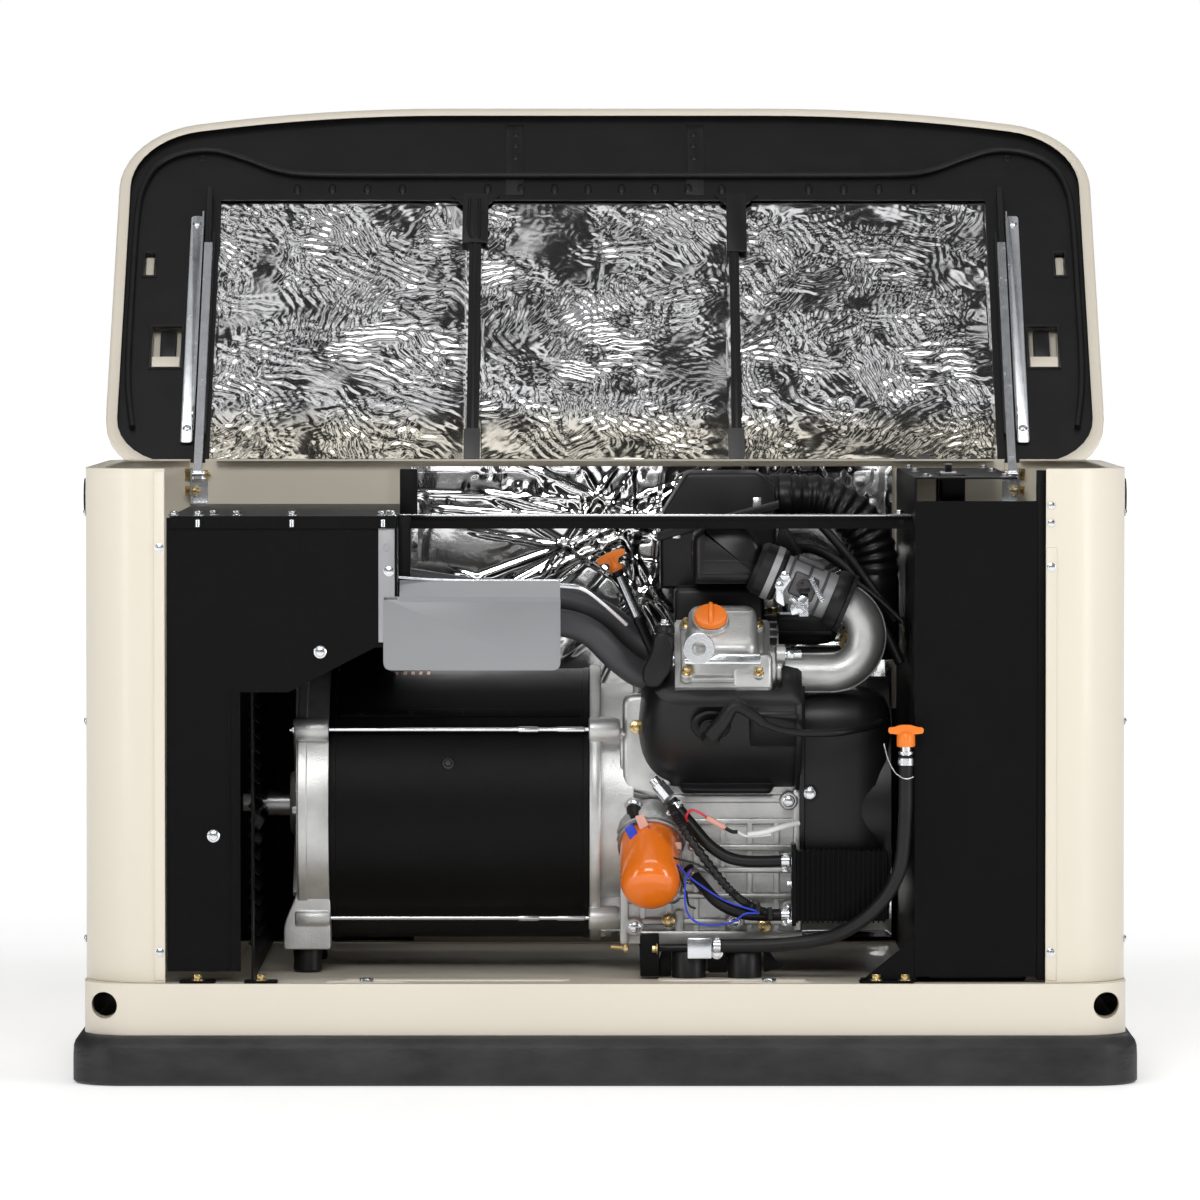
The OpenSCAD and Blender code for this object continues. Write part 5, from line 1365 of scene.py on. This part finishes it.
def make_throttle_details():
    """Linkage plates, springs, screws and sleeves round the throttle body."""
    m = Matrix.Translation((228, INTAKE_Y, 565)) @ Matrix.Rotation(math.pi / 2 + math.radians(22.7), 4,
            "Y")
    sleeve = Shape(m)
    sleeve.turned([(24, 50), (33.4, 50), (34.6, 46), (34.6, 38), (33, 34), (24, 34)], sides=48,
                  ring=True)
    sleeve.turned([(24, -60), (27, -60), (31, -54), (31, -30), (28.6, -27), (24, -27)], sides=48,
                  ring=True)
    sleeve.turned(corners(26, 51, 35, 56), sides=48, ring=True)
    sleeve.piece("throttle_sleeves", "rubber")
    cast = Shape(m)
    for z in (-20, 2, 22):
        cast.turned([(26, -2), (29.2, -1.4), (29.2, 1.4), (26, 2)], (0, 0, z), Z_AXIS, 48, True)
    cast.box((-14, -40, -15), (14, -24, 15), 3, segments=3)
    cast.box((-33, -12, -18), (-24, 12, 16), 3, segments=3)
    cast.piece("throttle_castings", "cast_alloy", [EXTRA["cover_grey"]], sharp=40)
    link = Shape()
    link.slab(rounded([(204, 560), (214, 574), (206, 584), (196, 572), (196, 548), (206, 542)], 3, 4),
              219.5, 221.5, 0.4, UPRIGHT)
    link.slab(rounded([(214, 532), (224, 536), (234, 552), (226, 556), (212, 542)], 2.5, 4), 219.5,
              221.5, 0.4, UPRIGHT)
    for x, z in ((206, 578), (224, 540), (200, 566)):
        link.bolt((x, -221.5, z), (0, -1, 0), 6.5, 3, 0.8)
    for k, (x0, z0, x1, z1) in enumerate(((236, 576, 250, 548), (212, 552, 232, 538))):
        a, b = Vector((x0, -222 - 2 * k, z0)), Vector((x1, -222 - 2 * k, z1))
        side = (b - a).cross(Y_AXIS).normalized()
        coil = []
        for i in range(97):
            swing = side * math.cos(i * 0.9) + Y_AXIS * math.sin(i * 0.9)
            coil.append(a + (b - a) * (i / 96) + 3.2 * swing)
        link.tube(coil, 0.75, 8, 0)
    link.piece("throttle_linkage", "zinc")
    joint = Shape()
    joint.turned([(21, -2), (30, -2), (31, -1), (31, 5), (30, 6), (21, 6)], (190.2, INTAKE_Y, 465),
                 X_AXIS, 48, True)
    joint.slab(rounded(corners(-24, -12, 24, 12), 8, 5), 0, 7, 1.2, aim((197, INTAKE_Y, 465), X_AXIS))
    joint.turned(corners(0, 0, 12, 10), (197, -195, 486), X_AXIS, 24)
    joint.box((146, -232, 444), (192, -176, 488), 6, segments=3)
    joint.piece("manifold_flange", "cast_alloy", sharp=40)
    seam = Shape()
    c = Vector((259, INTAKE_Y, 507))
    arc = [c + Vector((64.6 * math.cos(t), 0, 64.6 * math.sin(t)))
           for t in np.linspace(-math.pi / 2, math.radians(60), 40)]
    seam.tube(arc, 0.9, 8, 0)
    seam.tube([(200, INTAKE_Y, 442.6), (258, INTAKE_Y, 442.6)], 0.9, 8, 0)
    seam.piece("manifold_seam", "cast_alloy")
    b = Shape()
    b.bolt((207, -195, 486), X_AXIS, 10, 8, 2)
    b.rod((215, -195, 486), (226, -195, 486), 4.2, bevel=0.6)
    b.piece("manifold_bolt", "zinc")


# ---------- exhaust ----------

def make_exhaust():
    front = [(76, -176, 466), (44, -180, 462), (14, -190, 482), (-18, -200, 512), (-56, -206, 524),
             (-110, -208, 524), (-180, -204, 528), (-236, -190, 546), (-270, -180, 564),
             (-310, -170, 572)]
    rear = [(93, 96, 467), (70, 97, 468), (40, 106, 486), (0, 110, 520), (-60, 110, 540),
            (-150, 110, 548), (-230, 110, 560), (-310, 110, 572)]
    pipes = Shape()
    pipes.tube(front, 15.9, 28, 7)
    pipes.tube(rear, 15.9, 24, 7)
    pipes.tube([(-410, 60, 572), (-446, 60, 572), (-460, 60, 560), (-460, 60, 500), (-460, 60, 381)],
               17.6, 28, 7)
    pipes.piece("exhaust_pipes", "grey_steel", [EXTRA["pipe_grey"]])
    can = Shape()
    rows = [(0, -199.6), (30, -199), (52, -196.5), (57, -193), (57.9, -190), (57.9, -187), (56.8, -186),
            (56.8, 186), (57.9, 187), (57.9, 190), (57, 193), (52, 196.5), (30, 199), (0, 199.6)]
    can.turned(rows, (MUFFLER_X, 0, MUFFLER_Z), Y_AXIS, 72)
    for y in (-110, 110):
        can.turned([(56.5, -8), (57.9, -7), (57.9, 7), (56.5, 8)], (MUFFLER_X, y, MUFFLER_Z), Y_AXIS,
                   72, True)
    can.piece("muffler", "grey_steel", replaces=["exhaust"])
    collar = Shape()
    collar.turned([(16.2, -3), (23.4, -3), (24, -2), (24, 2.4), (23, 3.2), (16.2, 3.2)],
                  (77, -175, 467), X_AXIS, 40, True)
    collar.turned(corners(16, -7, 18.6, 5), (66, -177.5, 465.6), (1, 0.1, 0.1), 40, True)
    collar.turned(corners(16, -6, 19.4, 4), (86, 96.5, 467), X_AXIS, 40, True)
    for y, z in ((-196, 480), (-156, 452)):
        collar.bolt((74, y, z), (-1, 0, 0), 8, 5, 1.2)
    collar.piece("exhaust_collars", "zinc")
    bolt_set("exhaust_gold_bolt", "gold_zinc", [((80, 78, 480), (-1, 0, 0), 10, 6, 1.6)])


def make_heat_shield():
    s = Shape()
    s.slab(rounded(corners(-253, 472, -51, 556), [10, 10, 3, 3], 6), 285.2, 286.8, 0.5, UPRIGHT)
    profile = [(-287, 550), (-285.2, 550), (-285.2, 555), (-270, 572.8), (-271.5, 574.4), (-287, 556)]
    s.loft([[(x, y, z) for y, z in profile] for x in (-234.5, -51.5)])
    s.slab(rounded([(-252.5, 540), (-241, 540), (-241, 588), (-246, 591.6), (-252.5, 588)], 3, 4),
           283.2, 285.2, 0.4, UPRIGHT)
    s.box((-253, -286.8, 552), (-236, -270, 556.4), 0.8)
    s.piece("heat_shield_plate", "grey_steel", [EXTRA["shield_grey"]], ["heat_shield"])
    rod = Shape()
    rod.tube([(-120, -268, 573), (-50, -262, 568), (-26, -256, 564), (-4, -240, 548), (24, -214, 522)],
             3.4, 12, 6)
    rod.tube([(-236, -276, 578), (-180, -271, 574.5), (-52, -270.6, 574)], 1.6, 10, 4)
    rod.bolt((-246.5, -286, 585), (0, -1, 0), 7.5, 3.6, 1)
    rod.piece("shield_strut", "zinc")


# ---------- lower fittings ----------

def make_cooler_details():
    c = Shape()
    c.box((214, -238, 176), (219, -192, 270), 1.2)
    c.box((320, -238, 184), (324, -194, 262), 1.2)
    c.box((216, -241.5, 180.3), (219.4, -190.5, 263.7), 0.5)
    c.piece("oil_cooler_ends", "black_paint")
    bolt_set("oil_cooler_bolts", "zinc", [((214, -226, z + 6), (-1, 0, 0), 8, 4, 1)
            for z in (218, 174)])


def make_mounts():
    """Engine mounts, their bracket, the starter motor and its solenoid."""
    r = Shape()
    for x in MOUNT_XS:
        for y in MOUNT_YS:
            r.turned([(0, 0.2), (16, 0.2), (18.6, 3), (19, 6), (18.2, 15), (19, 25), (18, 30.8),
                      (0, 30.8)], (x, y, DECK_Z), Z_AXIS, 40)
    for y in MOUNT_YS:
        r.turned([(0, 0.2), (15, 0.2), (16.8, 3), (16.2, 14), (17, 24), (16, 27.9), (0, 27.9)],
                 (BELL_MOUNT_X, y, DECK_Z), Z_AXIS, 36)
    for x in (96, 160):
        r.turned([(0, 0.2), (18, 0.2), (19.4, 2), (19.4, 30), (17, 34), (0, 34)], (x, -228, DECK_Z),
                 Z_AXIS, 40)
    r.piece("rubber_mounts", "rubber", replaces=["mounts_and_starter"])
    m = Shape()
    for y in MOUNT_YS:
        m.box((40, y - 26, 146), (220, y + 26, 150), 1)
        m.box((40, y - 26, 132), (44, y + 26, 150), 1)
    cut = rounded([(56, 118), (76, 118), (76, 148), (118, 148), (118, 122), (140, 122), (140, 148),
                   (182, 148), (182, 122), (202, 128), (186, 150), (66, 150)], 2.5, 3)
    m.slab(cut, 226, 230, 0.8, UPRIGHT)
    m.box((60, -247, 147.6), (190, -205, 151.4), 1.2)
    m.box((40, -238, 118), (62, -206, 166), 2)
    m.rod((110, STARTER_Y, STARTER_Z), (214, STARTER_Y, STARTER_Z), 33.8, bevel=3)
    m.rod((214, STARTER_Y, STARTER_Z), (224, STARTER_Y, STARTER_Z), 20, bevel=2)
    m.rod((110, 116, 250), (206, 116, 250), 17.8, bevel=2)
    m.box((108, 100, 262), (122, 140, 296), 3)
    m.piece("mount_brackets_and_starter", "black_paint")
    z = Shape()
    z.turned(corners(34.2, 0, 35, 5), (140, STARTER_Y, STARTER_Z), X_AXIS, 48, True)
    z.turned(corners(34.2, 0, 35, 5), (200, STARTER_Y, STARTER_Z), X_AXIS, 48, True)
    z.bolt((206, 116, 258), X_AXIS, 8, 4, 1)
    z.bolt((128, -248, 146), (0, -1, 0), 9, 4, 1)
    z.piece("starter_bands", "zinc")


def make_controls():
    """Battery, control box, breaker housing and the gas inlet at the rear."""
    b = Shape()
    b.box((368.3, -261.7, DECK_Z + 0.2), (481.7, -92.3, 284), 4, segments=3)
    b.box((367.9, -262, 284), (482, -92, 309.8), 3, segments=3)
    for y in (-150, -204):
        b.turned([(0, 0), (11, 0), (11, 2), (8, 3), (0, 3)], (440, y, 309.8), Z_AXIS, 32)
    b.box((366.3, -239.7, 430.3), (469.7, 39.7, 639.7), 4, segments=3)
    for z in (470, 510, 550):
        b.box((368, -241, z), (464, -236, z + 3), 0.8)
    b.box((386.2, -203.8, 638), (413.8, -116.2, 690), 2)
    b.box((388, -200, 690), (412, -120, 693.8), 1.2)
    b.box((386.2, -83.8, 638), (391, -56.2, 693.8), 1)
    b.box((409, -83.8, 638), (413.8, -56.2, 693.8), 1)
    b.box((391, -83.8, 638), (409, -56.2, 682), 1)
    b.piece("battery_and_control_boxes", "black_plastic", replaces=["battery_and_controls"])
    t = Shape()
    for y in (-232, -122):
        t.turned([(0, 0), (8, 0), (7, 10), (6.4, 13.8), (0, 13.8)], (400, y, 309.9), Z_AXIS, 28)
    for x, y in ((372, -230), (372, -150), (464, -230)):
        t.screw((x, y, 692), Z_AXIS, 4, 2)
    for x in (366, 456):
        for y in (-262, 40, 240):
            t.bolt((x, y, 692), Z_AXIS, 7, 3.2, 1)
    t.piece("terminals_and_top_screws", "steel")
    g = Shape()
    g.turned(corners(10.6, 0, 14, 66), (GAS_X, 240, GAS_Z), Y_AXIS, 48, True)
    g.turned(corners(14, 0, 18, 8), (GAS_X, 243, GAS_Z), Y_AXIS, 6, True)
    for k in range(7):
        g.turned([(13.6, -0.9), (14.3, 0), (13.6, 0.9)], (GAS_X, 290 + 2.2 * k, GAS_Z), Y_AXIS, 40,
                 True)
    g.piece("gas_inlet_pipe", "gold_zinc")
    cable = Shape()
    cable.tube([(400, -122, 318), (404, -110, 340), (430, -70, 360), (446, -20, 400), (440, 10, 432)],
               6, 16, 6)
    cable.tube([(400, -232, 318), (420, -240, 340), (450, -200, 390), (456, -100, 432)], 6, 16, 6)
    cable.tube([(446, 34, 520), (452, 120, 480), (450, 220, 300), (450, 288, 202)], 9, 16, 6)
    cable.piece("battery_cables", "rubber")
    screens = Shape()
    screens.box((-500, 286.6, 118), (-232, 288.4, 500), 0.5)
    screens.box((200, 286.6, 118), (440, 288.4, 400), 0.5)
    screens.piece("louvre_screens", "black_paint")


def main():
    make_camera()
    make_light()
    make_floor()
    dress_cad()
    make_pad()
    make_pan_details()
    make_panel_details()
    make_rear_details()
    make_duct_details()
    make_rail_details()
    make_roof_shell()
    make_roof_seal()
    make_liner_details()
    make_stay_details()
    make_roof_foil()
    make_rear_foil()
    make_alternator_details()
    make_end_bell_details()
    make_block_details()
    make_wrap()
    make_blower_details()
    make_rockers()
    make_lifting_eye()
    make_caps()
    make_filter()
    make_hoses()
    make_wires()
    make_airbox()
    make_throttle_details()
    make_exhaust()
    make_heat_shield()
    make_cooler_details()
    make_mounts()
    make_controls()


main()
